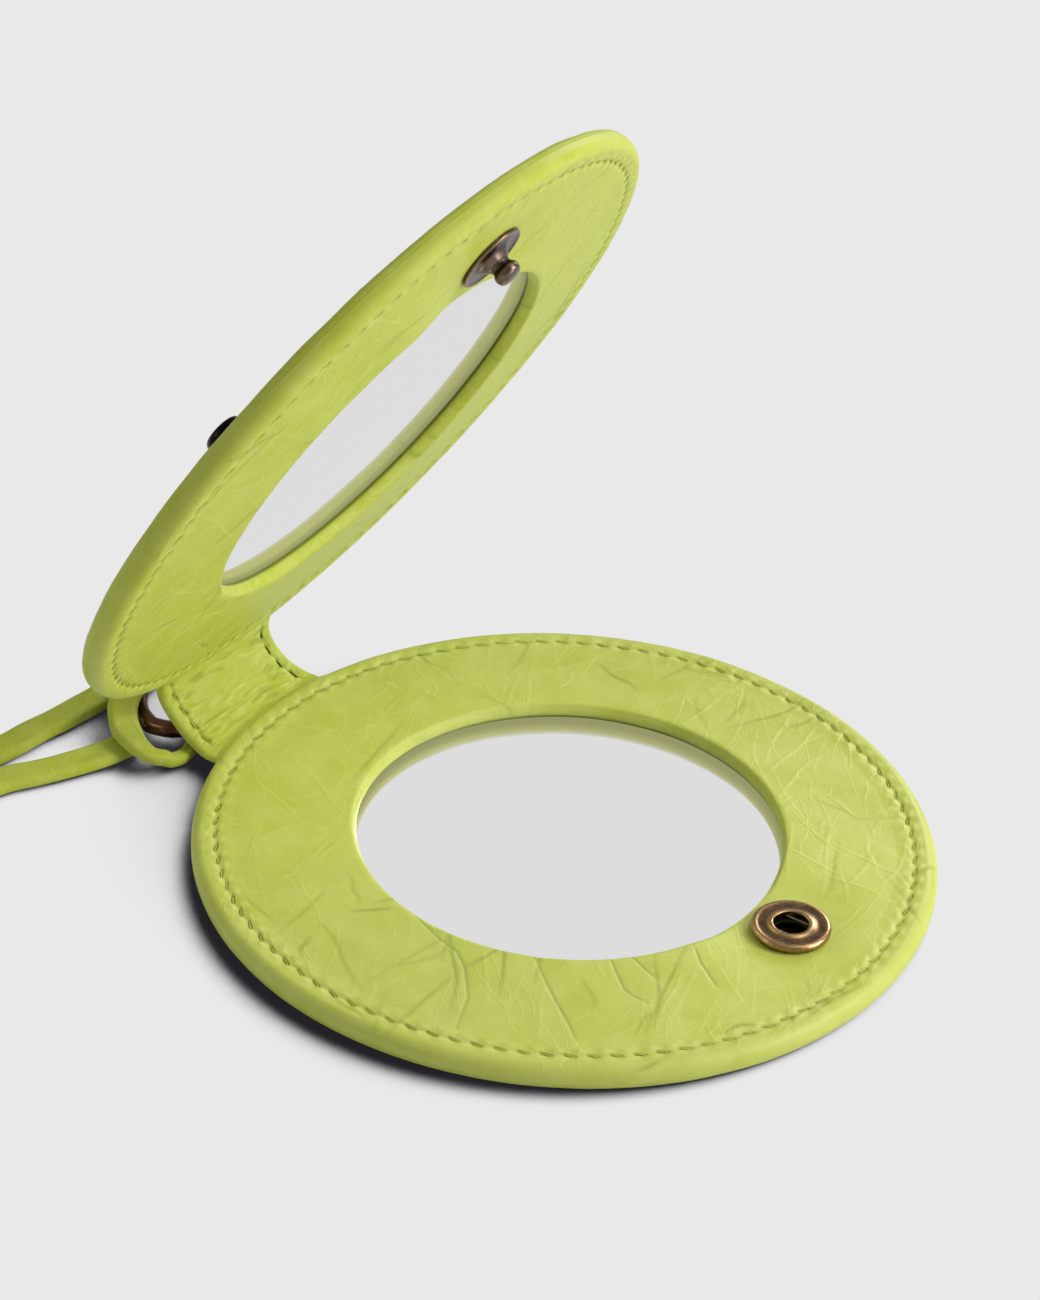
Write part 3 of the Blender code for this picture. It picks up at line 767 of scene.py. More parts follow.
def leaf_profile():
    """Rows of the inner cover's skin: radius, level, share of relief, share that a slot lifts."""
    rows = []

    def add(points, relief, lift=0.0):
        for r, z in points:
            rows.append((r, z, relief, lift))

    def line(a, b, count):
        shares = np.linspace(0, 1, count, endpoint=False)
        return [(a[0] + (b[0] - a[0]) * s, a[1] + (b[1] - a[1]) * s) for s in shares]

    wall = (leaf_radius, inner_top - rim_round)
    low = (leaf_radius, seam_level + seam_gap / 2)
    for share, row in zip((0.0, 0.0, 0.15, 0.3, 0.4, 0.5), line(low, wall, 6)):
        add([row], share, 1.0)
    add(arc(leaf_radius - rim_round, inner_top - rim_round, rim_round, 0, 90, 12)[:-1], 0.6, 1.0)
    stitch = leaf_radius - stitch_inset
    add(line((leaf_radius - rim_round, inner_top), (stitch - 1.5 * MM, inner_top), 32), 1.0)
    add(line((stitch - 1.5 * MM, inner_top), (lip_foot, inner_top), 6), 1.0)
    add(line((lip_foot, inner_top), (lip_crown, lip_top), 74), 1.0)
    roll = [(lip_crown, lip_top), (lip_crown - 0.4 * MM, lip_top - lip_roll_drop)]
    roll += [(window_radius + 0.22 * MM, lip_top - 0.45 * MM), (window_radius, lip_turn_level + 0.35 * MM)]
    roll += [(window_radius, lip_turn_level), (window_radius + lip_undercut * 0.7, lip_level + 0.12 * MM)]
    roll += [(window_radius + lip_undercut, lip_level)]
    add([tuple(p) for p in smooth_path(roll, 5)], 0.5)
    back = [(mirror_radius, lip_level), (mirror_radius + 0.1 * MM, inner_base)]
    add(line((window_radius + 0.6 * MM, lip_level), back[0], 4), 0.0)
    add(line(back[0], back[1], 2), 0.0)
    wall_inner = leaf_radius - cover_wall
    add(line(back[1], (wall_inner - 0.3 * MM, inner_base), 12), 0.0)
    add(line((wall_inner - 0.3 * MM, inner_base), (wall_inner, inner_base - 0.3 * MM), 2), 0.0, 1.0)
    add(line((wall_inner, inner_base - 0.3 * MM), (wall_inner, low[1]), 3), 0.0, 1.0)
    add([(wall_inner, low[1])], 0.0, 1.0)
    return np.array(rows)


def row_normals(rows):
    """Outward directions of a closed profile that runs from the rim's foot up and inwards."""
    along = np.roll(rows[:, :2], -1, axis=0) - np.roll(rows[:, :2], 1, axis=0)
    normal = np.stack((along[:, 1], -along[:, 0]), axis=-1)
    return unit(normal)


def leaf_seam(radius, turn, seed):
    """Relief of the seam round a leaf's face."""
    reach = leaf_radius - stitch_inset
    share = (turn + math.pi) / (2 * math.pi) * stitch_count
    return seam_relief(radius - reach, share, 2 * math.pi * reach / stitch_count, seed)


def polar_grid(rows, columns):
    """Radius, level and turn of every point of a turned profile, row by row."""
    angle = np.linspace(-math.pi, math.pi, columns, endpoint=False) + math.pi / columns
    radius = np.repeat(rows[:, :1], columns, axis=1)
    level = np.repeat(rows[:, 1:2], columns, axis=1)
    return radius, level, np.repeat(angle[None], len(rows), axis=0)


def in_plan(radius, turn):
    return np.stack((radius * np.cos(turn), radius * np.sin(turn)), axis=-1)


def inner_cover(name, place, shift, window_shift, seed, folds, material, body):
    rows = leaf_profile()
    normal = row_normals(rows)
    radius, level, turn = polar_grid(rows, stitch_count * 12)
    fade = 1 - smooth_step(lip_crown, window_shift_start, radius)
    shift_x, shift_y = window_shift
    radius = radius + (shift_x * np.cos(turn) + shift_y * np.sin(turn)) * fade
    plan = in_plan(radius, turn)
    solid = raised(plan, level)

    relief, pale, crease_shade = leather_relief(solid, plan, seed)
    seam, stitch_hole_shade, pucker_highlight = leaf_seam(radius, turn, seed)
    top = smooth_step(inner_top - rim_round / 2, inner_top - rim_round / 8, level)
    calm = 1 - calm_share * (1 - top)
    height = relief * calm + seam * top
    # Painted shade in creases and stitch holes, painted highlight on raised creases and puckers.
    mark = np.maximum(crease_shade * calm, stitch_hole_shade * top)
    pale = np.maximum(pale * calm, pucker_highlight * top)
    for line in folds:
        apart, share = line_distance(plan, line)
        ends = np.sin(math.pi * np.clip(share, 0.04, 0.96)) ** 0.35
        crease = bump_share(apart, fold_half) * ends
        shoulder = np.tanh(apart / fold_half) * np.exp(-np.abs(apart) / fold_shoulder) * ends
        height = height - fold_depth * crease + fold_shoulder_height * shoulder
        # Painted shade along the fold's crease and a painted highlight on its shoulder.
        mark = np.maximum(mark, 0.7 * crease)
        pale = np.maximum(pale, 0.5 * np.clip(shoulder * 2, 0, 1))
    # Painted shade under the window lip's undercut.
    under_lip_shade = (1 - smooth_step(lip_level + 0.1 * MM, lip_turn_level, level)) * (radius < mirror_radius)
    mark = np.maximum(mark, under_lip_shade * 1.3)
    lip = bump_share(radius - lip_crown, 1.5 * MM)
    height = height + lip * lip_wander * noise(solid, 6 * MM, seed + 20)

    height = height * rows[:, 2:3]
    radius = radius + normal[:, :1] * height
    level = level + normal[:, 1:] * height

    near_snap = np.hypot(plan[..., 0] - snap_reach, plan[..., 1])
    free = smooth_step(snap_seat, snap_seat + snap_fade, near_snap)
    level = np.where(level > inner_top, inner_top + (level - inner_top) * free, level)
    pit = 1 - smooth_step(snap_pit * 0.8, snap_pit, near_snap)
    level = level - pit * snap_pit_depth
    # The snap's pit is painted near black, painted shade.
    mark = np.maximum(mark * free, pit * 2)

    span = np.abs(plan[..., 1] - shift)
    half = gusset_width / 2 + slot_edge
    inside = (1 - smooth_step(half - slot_edge, half + slot_edge, span)) * (plan[..., 0] < 0)
    lift_top = inner_base + (inner_top - inner_base) * 0.3
    share = np.clip((level - seam_level) / (lift_top - seam_level), 0, 1)
    lifted = slot_top - overlap + (lift_top - slot_top + overlap) * share
    level = np.where(
        (rows[:, 3:4] > 0) & (level < lift_top), level + (lifted - level) * inside * rows[:, 3:4], level,
    )
    points = raised(in_plan(radius, turn), level)
    faces = grid_faces(*radius.shape, True, True)
    # 'fold' carries the painted shade and 'pale' the painted highlight.
    marks = {"fold": mark, "pale": pale, "plain": 1 - top, "skin": points + seed * skin_step}
    return add_mesh(name, place(points), faces, material, body, 70, marks)


def outer_cover(name, place, seed, material, body):
    """The outer skin: a shallow dish with its own seam, wrinkled and painted with shade and highlight like
    the inner one.
    """
    stitch = leaf_radius - stitch_inset
    rows = [(0.35 * MM, 0.0, 1.0)]
    rows += [(r, 0.0, 1.0) for r in np.linspace(1.2 * MM, stitch - 1.5 * MM, 110)]
    rows += [(r, 0.0, 1.0) for r in np.linspace(stitch - 1.5 * MM, leaf_radius - back_round, 22)[1:]]
    rows += [(r, z, 0.6) for r, z in arc(leaf_radius - back_round, back_round, back_round, -90, 0, 12)[1:]]
    top = seam_level - seam_gap / 2
    rows += [(leaf_radius, back_round + (top - back_round) * s, 0.0) for s in (0.5, 1.0)]
    wall = leaf_radius - cover_wall
    rows += [(wall, top, 0.0), (wall, cover_wall + 0.3 * MM, 0.0), (wall - 0.3 * MM, cover_wall, 0.0)]
    rows += [(r, cover_wall, 0.0) for r in (40 * MM, 30 * MM, 20 * MM, 10 * MM, 0.35 * MM)]
    rows = np.array(rows)
    along = np.gradient(rows[:, :2], axis=0)
    normal = unit(np.stack((along[:, 1], -along[:, 0]), axis=-1))
    radius, level, turn = polar_grid(rows, stitch_count * 8)
    plan = in_plan(radius, turn)
    solid = raised(plan, level)
    relief, pale, mark = leather_relief(solid, plan, seed)
    seam, stitch_hole_shade, pucker_highlight = leaf_seam(radius, turn, seed)
    low = 1 - smooth_step(back_round / 8, back_round / 2, level)
    calm = 1 - calm_share * (1 - low)
    height = (relief * calm + seam * low - outer_sink) * rows[:, 2:3]
    # Painted shade in creases and stitch holes, painted highlight on raised creases and puckers.
    mark = np.maximum(mark * calm, stitch_hole_shade * low) * rows[:, 2:3]
    pale = np.maximum(pale * calm, pucker_highlight * low)
    radius = radius + normal[:, :1] * height
    level = level + normal[:, 1:] * height
    points = raised(in_plan(radius, turn), level)
    faces = domed_faces(*radius.shape)
    points = np.vstack((points.reshape(-1, 3), (0, 0, level[0].mean()), (0, 0, cover_wall)))
    marks = {
        "fold": np.concatenate((mark.ravel(), (mark[0].mean(), 0.0))),
        "pale": np.concatenate((pale.ravel(), (0.0, 0.0))),
        "plain": np.concatenate(((1 - low).ravel(), (0.0, 0.0))),
        "skin": points + seed * skin_step,
    }
    return add_mesh(name, place(points), faces, material, body, 70, marks)


def thread_loop(length, radius, sides=8, rings=7):
    """Points of one stitch along X with its ends drawn down, and its faces."""
    spine = np.linspace(-1, 1, rings)
    angle = np.linspace(0, 2 * math.pi, sides, endpoint=False)
    thick = radius * np.sqrt(np.clip(1 - spine ** 6, 0.12, 1))
    drop = -radius * 2.2 * spine ** 4
    rows = np.stack((
        np.repeat(spine[:, None] * length / 2, sides, axis=1),
        thick[:, None] * np.cos(angle),
        drop[:, None] + thick[:, None] * np.sin(angle),
    ), axis=-1)
    return rows.reshape(-1, 3), tube_faces(rings, sides)


def stitch_ring(name, place, level, side, material, body):
    """One ring of slanted stitches: side is 1 on an inner face and -1 on an outer one."""
    shape, shape_faces = thread_loop(thread_length, thread_radius)
    shape = shape * np.array((1, 1, side))
    slant = math.radians(stitch_slant_deg)
    points, faces = [], []
    for k in range(stitch_count):
        turn = -math.pi + (k + 0.5) * 2 * math.pi / stitch_count
        reach = leaf_radius - stitch_inset
        centre = np.array((reach * math.cos(turn), reach * math.sin(turn), level))
        face_turn = turn + math.pi / 2 - slant
        ahead = np.array((math.cos(face_turn), math.sin(face_turn), 0))
        aside = np.array((-math.sin(face_turn), math.cos(face_turn), 0))
        start = sum(len(rows) for rows in points)
        points.append(centre + shape[:, :1] * ahead + shape[:, 1:2] * aside + shape[:, 2:] * (0, 0, 1))
        faces += [[i + start for i in face] for face in shape_faces]
    return add_mesh(name, place(np.vstack(points)), faces, material, body)


def build_mirror(name, place, silver_base, material, body):
    top = silver_base + silver_thick
    outline = [(0, silver_base), (mirror_radius * 0.5, silver_base), (mirror_radius, silver_base)]
    outline += [(mirror_radius, top - 0.02 * MM), (mirror_radius - 0.03 * MM, top)]
    outline += [(mirror_radius - 0.1 * MM, top), (mirror_radius * 0.5, top), (0, top)]
    return spun(name, outline, 192, (0, 0), place, material, body)


def build_leaf(prefix, place, shift, seed, folds, skins, body):
    cover = inner_cover(
        prefix + "_inner_skin", place, shift, window_shifts[prefix], seed, folds, skins[prefix], body,
    )
    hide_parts(prefix + "_inner_cover")
    back = outer_cover(prefix + "_outer_skin", place, seed + 50, skins[prefix], body)
    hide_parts(prefix + "_outer_cover")
    glass = build_mirror(prefix + "_silver", place, silver_bases[prefix], skins["mirror"], body)
    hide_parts(prefix + "_mirror")
    seam_top = inner_top - groove_depth - dimple_depth * 0.45
    front = stitch_ring(prefix + "_inner_stitches", place, seam_top, 1, skins["thread"], body)
    low = groove_depth + dimple_depth * 0.6 + 0.1 * MM
    rear = stitch_ring(prefix + "_outer_stitches", place, low, -1, skins["thread"], body)


# Snap and dome

def finer_rows(rows, per_span):
    """Profile rows in metres, with a smooth curve put through them."""
    path = smooth_path(rows, per_span)
    path[:, :2] *= MM
    path[:, 0] = np.maximum(path[:, 0], 0)
    return path


def round_wire(name, path, radius, up, material, body, cyclic, sides=20):
    """A round wire along a path whose bends all lie square to the given direction."""
    if cyclic:
        along = np.roll(path, -1, axis=0) - np.roll(path, 1, axis=0)
    else:
        along = np.gradient(path, axis=0)
    along = unit(along)
    side = unit(np.cross(along, up))
    over = np.cross(side, along)
    turn = np.linspace(0, 2 * math.pi, sides, endpoint=False)
    across, above = np.cos(turn)[None, :, None], np.sin(turn)[None, :, None]
    points = path[:, None] + radius * (across * side[:, None] + above * over[:, None])
    faces = grid_faces(len(path), sides, True, True) if cyclic else tube_faces(len(path), sides)
    # The upper half of the wire is painted lighter: a painted highlight, carried in the wear mark.
    wear_and_highlight = np.tile(0.75 + 0.25 * np.maximum(np.sin(turn), 0), len(path))
    return add_mesh(name, points, faces, material, body, 50, {"wear_and_highlight": wear_and_highlight})


def build_snap(skins):
    socket = finer_rows(socket_rows, 2)
    made = ring_spun(
        "socket_cap", socket[:, :2], 96, (snap_reach, 0), stays, skins["brass"], "lower_leaf", socket[:, 2],
    )
    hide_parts("snap_socket")
    way = smooth_path(spring_way, 6) * MM
    path = np.column_stack((way[:, 0] + snap_reach, way[:, 1], np.full(len(way), spring_level)))
    upright = np.array((0.0, 0.0, 1.0))
    made = round_wire("socket_spring", path, spring_wire, upright, skins["spring"], "lower_leaf", False, 12)
    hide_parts("snap_spring")
    for name, rows, centre, finish, slot in (
        ("stud_post", stud_rows, (snap_reach, 0), "bronze", "bronze"),
        ("dome_cap", dome_rows, dome_place, "cap", "dark_bronze"),
    ):
        fine = np.vstack((rows[:1], smooth_path(rows, 2)[2:-2], rows[-1:]))
        fine[1:-1, 0] = np.maximum(fine[1:-1, 0], least_row_radius)
        outline = [(r * MM, z * MM) for r, z, wear_and_highlight in fine]
        made = spun(name, outline, 96, centre, opened, skins[finish], "upper_leaf", fine[:, 2])
        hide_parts("snap_stud" if name == "stud_post" else "dome_stud")


# Gusset

def gusset_spine():
    """Middle line of the gusset from tab to tab, and how far into its free part each point lies."""
    low_tab = np.array((-(leaf_radius - tab_reach), 0, tab_level))
    low_rim = np.array((-leaf_radius, 0, tab_level))
    high_rim = opened(np.array((-leaf_radius, 0, tab_level)))
    high_tab = opened(np.array((-(leaf_radius - tab_reach), 0, tab_level)))
    bow = np.linalg.norm(high_rim - low_rim) * gusset_bow_share
    low_handle = low_rim + (low_rim - low_tab) / tab_reach * bow
    high_handle = high_rim + (high_rim - high_tab) / tab_reach * bow
    t = np.linspace(0, 1, spine_steps)[:, None]
    s = 1 - t
    free = low_rim * s ** 3 + low_handle * 3 * s * s * t + high_handle * 3 * s * t * t + high_rim * t ** 3
    tabs = np.linspace(0, 1, tab_steps, endpoint=False)[:, None]
    low = low_tab + (low_rim - low_tab) * tabs
    high = (high_tab + (high_rim - high_tab) * tabs)[::-1]
    open_share = np.concatenate((np.zeros(tab_steps), np.sin(math.pi * t[:, 0]), np.zeros(tab_steps)))
    return np.vstack((low, free, high)), open_share


def sweep_frames(path, across):
    """Unit directions along a path and out of its face, given the direction across it."""
    along = unit(np.gradient(path, axis=0))
    return along, unit(np.cross(along, across))


def build_gusset(skins):
    """Both plies as one skin, with a seam near each edge and wrinkles across the fold, painted shade in the
    seam lines, stitch holes and wrinkle valleys, and painted highlight on the wrinkle ridges and puckers.
    """
    path, free = gusset_spine()
    along, out = sweep_frames(path, np.array((0.0, 1.0, 0.0)))
    half = gusset_width / 2 + (gusset_waist - gusset_width) / 2 * free
    thick = gusset_tab_half + (gusset_half_thick - gusset_tab_half) * np.minimum(free * 2, 1)
    flat = np.linspace(-1, 1, 120)
    round_deg = np.linspace(-90, 90, 13)[1:-1]
    ring = [(s, 0.0, -1.0) for s in flat]
    ring += [(1.0, math.cos(math.radians(a)), math.sin(math.radians(a))) for a in round_deg]
    ring += [(s, 0.0, 1.0) for s in flat[::-2]]
    ring += [(-1.0, -math.cos(math.radians(a)), -math.sin(math.radians(a))) for a in round_deg]
    ring = np.array(ring)
    face_half = (half - thick)[:, None]
    side = gusset_shift + ring[:, 0] * face_half + ring[:, 1] * thick[:, None]
    depth = ring[:, 2] * thick[:, None]
    arc_length = run_along(path)
    run = np.repeat(arc_length[:, None], len(ring), axis=1)
    inset = half[:, None] - np.abs(side - gusset_shift)
    sway = noise(np.stack((side, run, depth), axis=-1), 2 * MM, 71) * 0.5 * MM
    wrinkle_place = np.stack(((run + sway) / 0.4, side / 1.8, depth * 0), axis=-1)
    wrinkle = noise(wrinkle_place, 1.5 * MM, 72) + 0.5 * noise(wrinkle_place, 0.8 * MM, 73)
    seam, stitch_hole_shade, pucker_highlight = seam_relief(
        gusset_seam_inset - inset, run / gusset_pitch, gusset_pitch, 74,
    )
    on_face = np.abs(ring[:, 2]) >= 1
    open_part = smooth_step(0.02, 0.3, free)[:, None]
    edge_fade = smooth_step(0.3 * MM, 1.4 * MM, inset)
    height = open_part * (0.09 * MM * wrinkle * edge_fade + np.where(on_face, seam, 0))
    height = height + open_part * 0.04 * MM * noise(np.stack((side, run, depth), axis=-1), 2.2 * MM, 75)
    line = bump_share(inset - gusset_seam_inset, 0.14 * MM) * on_face * open_part
    height = height - 0.08 * MM * line
    # Painted shade in the stitch holes and along the seam line.
    mark = np.maximum(stitch_hole_shade * on_face, line * 0.5) * open_part
    # Painted shade in the wrinkles' valleys.
    mark = np.maximum(mark, open_part * smooth_step(0.25, 1.0, -wrinkle) * 0.35 * edge_fade)
    points = path[:, None, :] + side[..., None] * np.array((0, 1, 0))
    points = points + (depth + np.sign(ring[:, 2]) * height)[..., None] * out[:, None, :]
    faces = tube_faces(len(path), len(ring))
    # Painted highlight on the wrinkles' ridges and the puckers.
    pale = np.maximum(smooth_step(0.3, 1.1, wrinkle) * edge_fade, pucker_highlight * on_face)
    marks = {"fold": mark, "pale": pale * open_part}
    marks["skin"] = np.stack((side, run, depth), axis=-1)
    made = add_mesh("gusset_skin", points, faces, skins["gusset"], None, 70, marks)
    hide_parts("gusset_inner", "gusset_outer")
    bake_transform(made)

    shape, shape_faces = thread_loop(gusset_pitch * 0.72, thread_radius)
    points, faces = [], []
    for edge, k in itertools.product((-1, 1), range(1, int(arc_length[-1] / gusset_pitch))):
        run_at = (k + 0.5) * gusset_pitch
        i = int(np.searchsorted(arc_length, run_at))
        if free[min(i, len(free) - 1)] < 0.12:
            continue
        y = gusset_shift + edge * (half[i] - gusset_seam_inset + 0.1 * MM)
        for face in (-1, 1):
            base = path[i] + np.array((0, y, 0)) + out[i] * face * (thick[i] - 0.12 * MM)
            start = sum(len(rows) for rows in points)
            points.append(
                base + shape[:, :1] * along[i] + shape[:, 1:2] * np.array((0, face, 0))
                + shape[:, 2:] * out[i] * face
            )
            faces += [[n + start for n in rows] for rows in shape_faces]
    threads = add_mesh("gusset_stitches", np.vstack(points), faces, skins["thread"], None)
    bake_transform(threads)


# Ring, keeper and strap

def band_section(width, thick, flat_count=10, round_count=7):
    """A flat band's rounded cross-section as (across, up) points."""
    radius = thick / 2
    reach = width / 2 - radius
    flat = np.linspace(-reach, reach, flat_count)
    turn = np.radians(np.linspace(90, -90, round_count))[1:-1]
    section = [(x, radius) for x in flat]
    section += [(reach + radius * math.cos(a), radius * math.sin(a)) for a in turn]
    section += [(x, -radius) for x in flat[::-1]]
    section += [(-reach - radius * math.cos(a), -radius * math.sin(a)) for a in turn]
    return np.array(section)


def build_band(name, path, side, width, thick, seed, material, body, slim=1.0, narrow=1.0):
    """A leather band along a path, with fine lengthwise wrinkles, painted shade in their valleys, and a
    slight wander in its width.
    """
    along = np.gradient(path, axis=0)
    side = unit(side)
    out = unit(np.cross(side, along))
    section = band_section(width, thick)
    run = np.repeat(run_along(path)[:, None], len(section), axis=1)
    across = np.repeat(section[None, :, 0], len(path), axis=0)
    lift = np.repeat(section[None, :, 1], len(path), axis=0) * np.reshape(slim, (-1, 1))
    place = np.stack((run / 5, across, lift), axis=-1)
    height = 0.05 * MM * noise(place, 1.1 * MM, seed) + 0.03 * MM * noise(place, 0.5 * MM, seed + 1)
    swell = 1 + 2 * height / thick
    wander = 1 + 0.03 * noise(np.stack((run, run * 0, run * 0), axis=-1), 9 * MM, seed + 2)
    wander = wander * np.reshape(narrow, (-1, 1))
    points = path[:, None] + side[:, None] * (across * swell * wander)[..., None]
    points = points + out[:, None] * (lift * swell)[..., None]
    points[..., 2] = np.maximum(points[..., 2], 0.02 * MM)
    faces = tube_faces(len(path), len(section))
    # Painted shade in the wrinkles' valleys.
    marks = {"fold": smooth_step(0.3, 1.0, -noise(place, 1.1 * MM, seed)) * 0.3}
    marks["skin"] = np.stack((across, run, lift), axis=-1) + seed * skin_step
    return add_mesh(name, points, faces, material, body, 60, marks)


def level_side(path):
    """Level directions across a path."""
    along = np.gradient(path, axis=0)
    return np.cross(along, (0.0, 0.0, 1.0))


def build_strap(skins):
    hinge_x = hinge_place[0]
    route = smooth_path([(hinge_x + x * MM, y * MM, strap_lie) for x, y in strap_route], route_steps)
    strap = build_band(
        "strap_band", route, level_side(route), strap_width, strap_thick, 81, skins["strap"], "ring",
    )
    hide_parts("strap_loop")
    rows = bight_lead + bight_route + bight_tail
    hitch = smooth_path([(hinge_x + x * MM, y * MM, z * MM) for x, y, z in rows], route_steps)
    count = np.arange(len(hitch))
    start = len(bight_lead) * route_steps
    turning = start + (len(bight_route) - 2) * route_steps
    slim = np.interp(count, (0, start / 2, turning, len(hitch)), (0.9, 1, 1, 0.45))
    bends = (0, start / 2, start, (start + turning) / 2, turning - route_steps, len(hitch))
    narrow = np.interp(count, bends, (0.95, 0.8, 1, 0.9, 0.5, 0.45))
    bight = build_band(
        "strap_hitch", hitch, level_side(hitch), strap_width, strap_thick, 91, skins["strap"], "ring",
        slim, narrow,
    )
    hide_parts("strap_bight")


def build_ring(skins):
    """The D-shaped ring on its bar, tipped so that its far side rests on the floor."""
    tip = math.asin((ring_place[2] - ring_wire - floor_gap) / ring_arc)
    flat = [p for p in arc(0, 0, ring_arc, 90, 270, 30) if abs(p[1]) < ring_arc - ring_corner / 4]
    flat += [(0, (ring_arc - ring_corner) * share) for share in (-1, -0.5, 0, 0.5, 1)]
    loop = smooth_path(flat[-1:] + flat + flat[:2], 4)[4:4 + 4 * len(flat)]
    path = np.column_stack((loop[:, 0] * math.cos(tip), loop[:, 1], loop[:, 0] * math.sin(tip)))
    up = np.array((-math.sin(tip), 0, math.cos(tip)))
    made = round_wire("ring_wire", path + ring_place, ring_wire, up, skins["copper"], "ring", True)
    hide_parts("carrier_ring")


def build_keeper(skins):
    """A strip sewn to the gusset's outer face that passes round the ring's bar."""
    spine = gusset_spine()[0]
    out = sweep_frames(spine, np.array((0.0, 1.0, 0.0)))[1]
    if np.sum(out[len(out) // 2] * (ring_place - spine[len(out) // 2])) < 0:
        out = -out
    level = gusset_half_thick + keeper_gap / 2 + keeper_thick / 2
    reach = ring_wire + keeper_gap + keeper_thick / 2

    def on_gusset(shares):
        rows = [tab_steps + round(share * (spine_steps - 1)) for share in shares]
        return [spine[i] + out[i] * level for i in rows]

    middle = tab_steps + round(keeper_seat_share * (spine_steps - 1))
    facing = math.atan2(out[middle][2], out[middle][0])
    turns = np.radians(np.linspace(105, -105, 22)) + facing
    loop = [ring_place + np.array((math.cos(a), 0, math.sin(a))) * reach for a in turns]
    points = on_gusset(np.linspace(0, 0.2, 5)) + loop + on_gusset(np.linspace(0.64, 0.95, 8))
    path = smooth_path(points, 2)
    side = np.repeat([(0.0, 1.0, 0.0)], len(path), axis=0)
    made = build_band(
        "keeper_strip", path, side, keeper_width, keeper_thick, 95, skins["strap"], "lower_leaf",
    )
    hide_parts("ring_keeper")


# Finishes

def main_materials():
    return {
        # The fourth value is how pale the base is: the lower leaf is painted paler than the upper leaf,
        # gusset and strap, painted light.
        "lower": leather_material("lower_leather", lower_lines, 0.4, 0.36),
        "upper": leather_material("upper_leather", upper_lines, 0.2, 0.1, 1.0, 1.0, upper_painted_reflection_reach),
        "gusset": leather_material("gusset_leather", gusset_lines, 0.2, 0.1, 1.0, 1.2),
        "strap": leather_material("strap_leather", strap_lines, 0.1, 0.0, 1.0, 1.3),
        "thread": flecked_material(
            "thread", 0.25 * MM, 2.0, 0.5, thread_rgb, leather_deep_rgb, 0.4, 0.6, (0.05 * MM, 0.5),
        ),
        "mirror": mirror_material(),
        "board": flecked_material(
            "grey_board", 0.5 * MM, 4.0, 0.7, board_rgb, leather_deep_rgb, 0.5, 0.9, (0.1 * MM, 0.4),
        ),
        "brass": metal_material("antique_brass", brass_rgb, brass_deep_rgb, 0.3, 0.35),
        "spring": metal_material("spring_steel", bronze_rgb, copper_deep_rgb, 0.25, 0.2),
        "bronze": metal_material("gunmetal_bronze", bronze_rgb, bronze_deep_rgb, 0.3, 0.4, bronze_edge_rgb),
        "copper": metal_material("dark_copper", copper_rgb, copper_deep_rgb, 0.22, 0.6),
        "cap": metal_material("black_bronze", cap_rgb, copper_deep_rgb, 0.2, 0.5),
    }


def finish_nodes(skins):
    """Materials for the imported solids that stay."""
    finishes = {
        "board": ("lower_backing_card", "lower_spacer_board", "upper_backing_card", "upper_spacer_board"),
        "spring": ("socket_rivet",),
        "bronze": ("stud_rivet",),
        "cap": ("dome_washer",),
    }
    for finish, names in finishes.items():
        for name in names:
            for slot in frame["nodes"][name].material_slots:
                slot.material = skins[finish]


# Stage

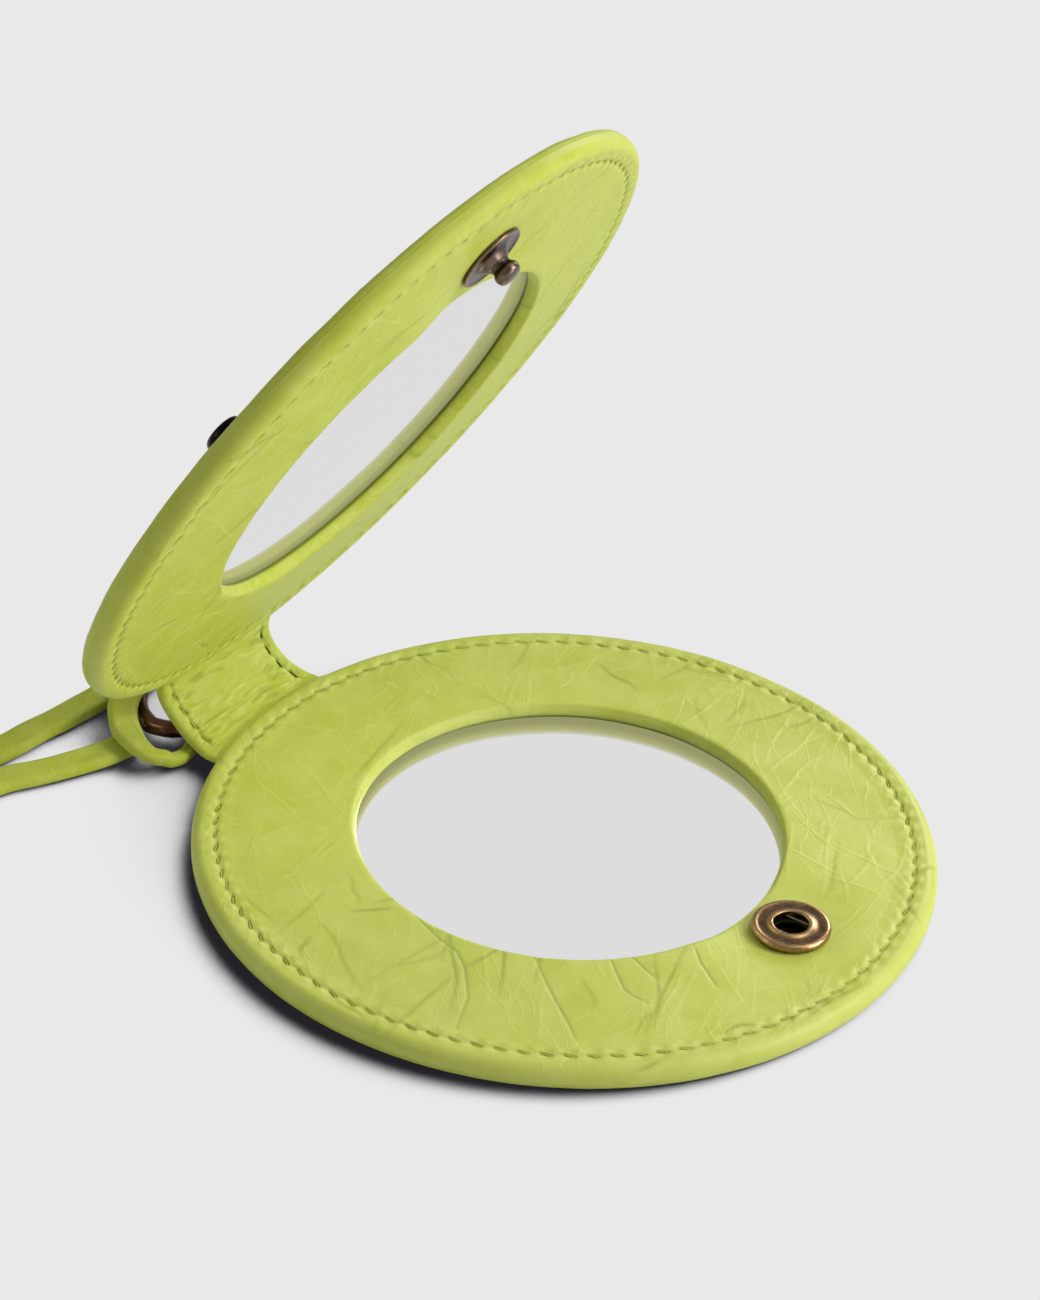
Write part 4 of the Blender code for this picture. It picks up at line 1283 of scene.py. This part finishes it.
def build_floor():
    """A pale floor: seen by the camera as the plain backdrop with the object's tight shadow."""
    points = [(x * floor_half, y * floor_half, 0) for x, y in ((-1, -1), (1, -1), (1, 1), (-1, 1))]
    mesh = bpy.data.meshes.new("floor")
    mesh.from_pydata(points, [], [(0, 1, 2, 3)])
    floor = add_object("floor", mesh)
    material = bpy.data.materials.new("floor_paper")
    material.use_nodes = True
    tree = material.node_tree
    tree.nodes.remove(tree.nodes["Principled BSDF"])
    shades = []
    for distance, way, low, high, strength in shadow_layers:
        shade = node(tree, "ShaderNodeAmbientOcclusion", samples=48)
        shade.inputs["Distance"].default_value = distance
        toward = node(tree, "ShaderNodeCombineXYZ")
        for socket, value in zip(toward.inputs, way):
            socket.default_value = value
        tree.links.new(toward.outputs[0], shade.inputs["Normal"])
        covered = maths(tree, "SUBTRACT", 1.0, shade.outputs["AO"])
        shades.append(remap(tree, covered, low, high, 0.0, strength))
    dark = maths(tree, "MAXIMUM", *shades)
    seen = node(tree, "ShaderNodeEmission")
    tree.links.new(mixed(tree, dark, linear(background_rgb), linear(shadow_rgb)), seen.inputs["Color"])
    # Painted reflection: mirror rays see the floor as a plain grey glow.
    mirror_grey_glow = node(tree, "ShaderNodeEmission")
    mirror_grey_glow.inputs["Color"].default_value = linear(painted_mirror_grey_rgb)
    paper = node(tree, "ShaderNodeBsdfDiffuse")
    paper.inputs["Color"].default_value = linear(background_rgb)
    path = node(tree, "ShaderNodeLightPath")
    plain = maths(tree, "MAXIMUM", path.outputs["Is Camera Ray"], path.outputs["Is Glossy Ray"])
    plain = maths(tree, "MAXIMUM", plain, path.outputs["Is Transmission Ray"])
    whole = either(tree, path.outputs["Is Singular Ray"], either(tree, plain, paper, seen), mirror_grey_glow)
    tree.links.new(whole.outputs[0], tree.nodes["Material Output"].inputs["Surface"])
    mesh.materials.append(material)


def build_light():
    """An even sky and round soft lamps. A mirror ray sees a painted reflection of plain grey in place of
    the sky.
    """
    world = bpy.data.worlds.new("studio")
    bpy.context.scene.world = world
    world.use_nodes = True
    tree = world.node_tree
    path = node(tree, "ShaderNodeLightPath")
    sky = (world_level, world_level, world_level, 1.0)
    colour = mixed(tree, path.outputs["Is Singular Ray"], sky, linear(painted_mirror_grey_rgb))
    tree.links.new(colour, tree.nodes["Background"].inputs["Color"])
    for name, way, reach, size, power in lamps:
        add_lamp(name, Vector(way).normalized(), reach, size, power)


def add_lamp(name, way, reach, size, power):
    """A round lamp that faces the object."""
    data = bpy.data.lights.new(name, "AREA")
    data.shape = "DISK"
    data.size = size
    data.energy = power
    lamp = add_object(name, data)
    lamp.location = way * reach
    lamp.rotation_euler = way.to_track_quat("Z", "Y").to_euler()


def build_camera():
    data = bpy.data.cameras.new("camera")
    data.sensor_width = sensor_width
    data.lens = focal_pixels / photo_height * sensor_width
    data.clip_start = 10 * MM
    camera = add_object("camera", data)
    back = camera_down.cross(camera_right)
    turn = Matrix((camera_right, -camera_down, back)).transposed()
    camera.matrix_world = Matrix.Translation(camera_place) @ turn.to_4x4()
    bpy.context.scene.camera = camera


build_camera()
skins = main_materials()
build_strap(skins)
folds = [[pixel_on_leaf(pixel, inner_top) for pixel in line] for line in lower_folds]
build_leaf("lower", stays, gusset_shift, 11, folds, skins, "lower_leaf")
build_leaf("upper", opened, -gusset_shift, 31, [], skins, "upper_leaf")
build_snap(skins)
build_gusset(skins)
build_ring(skins)
build_keeper(skins)
finish_nodes(skins)
build_floor()
build_light()
bpy.context.scene.view_settings.view_transform = "Standard"
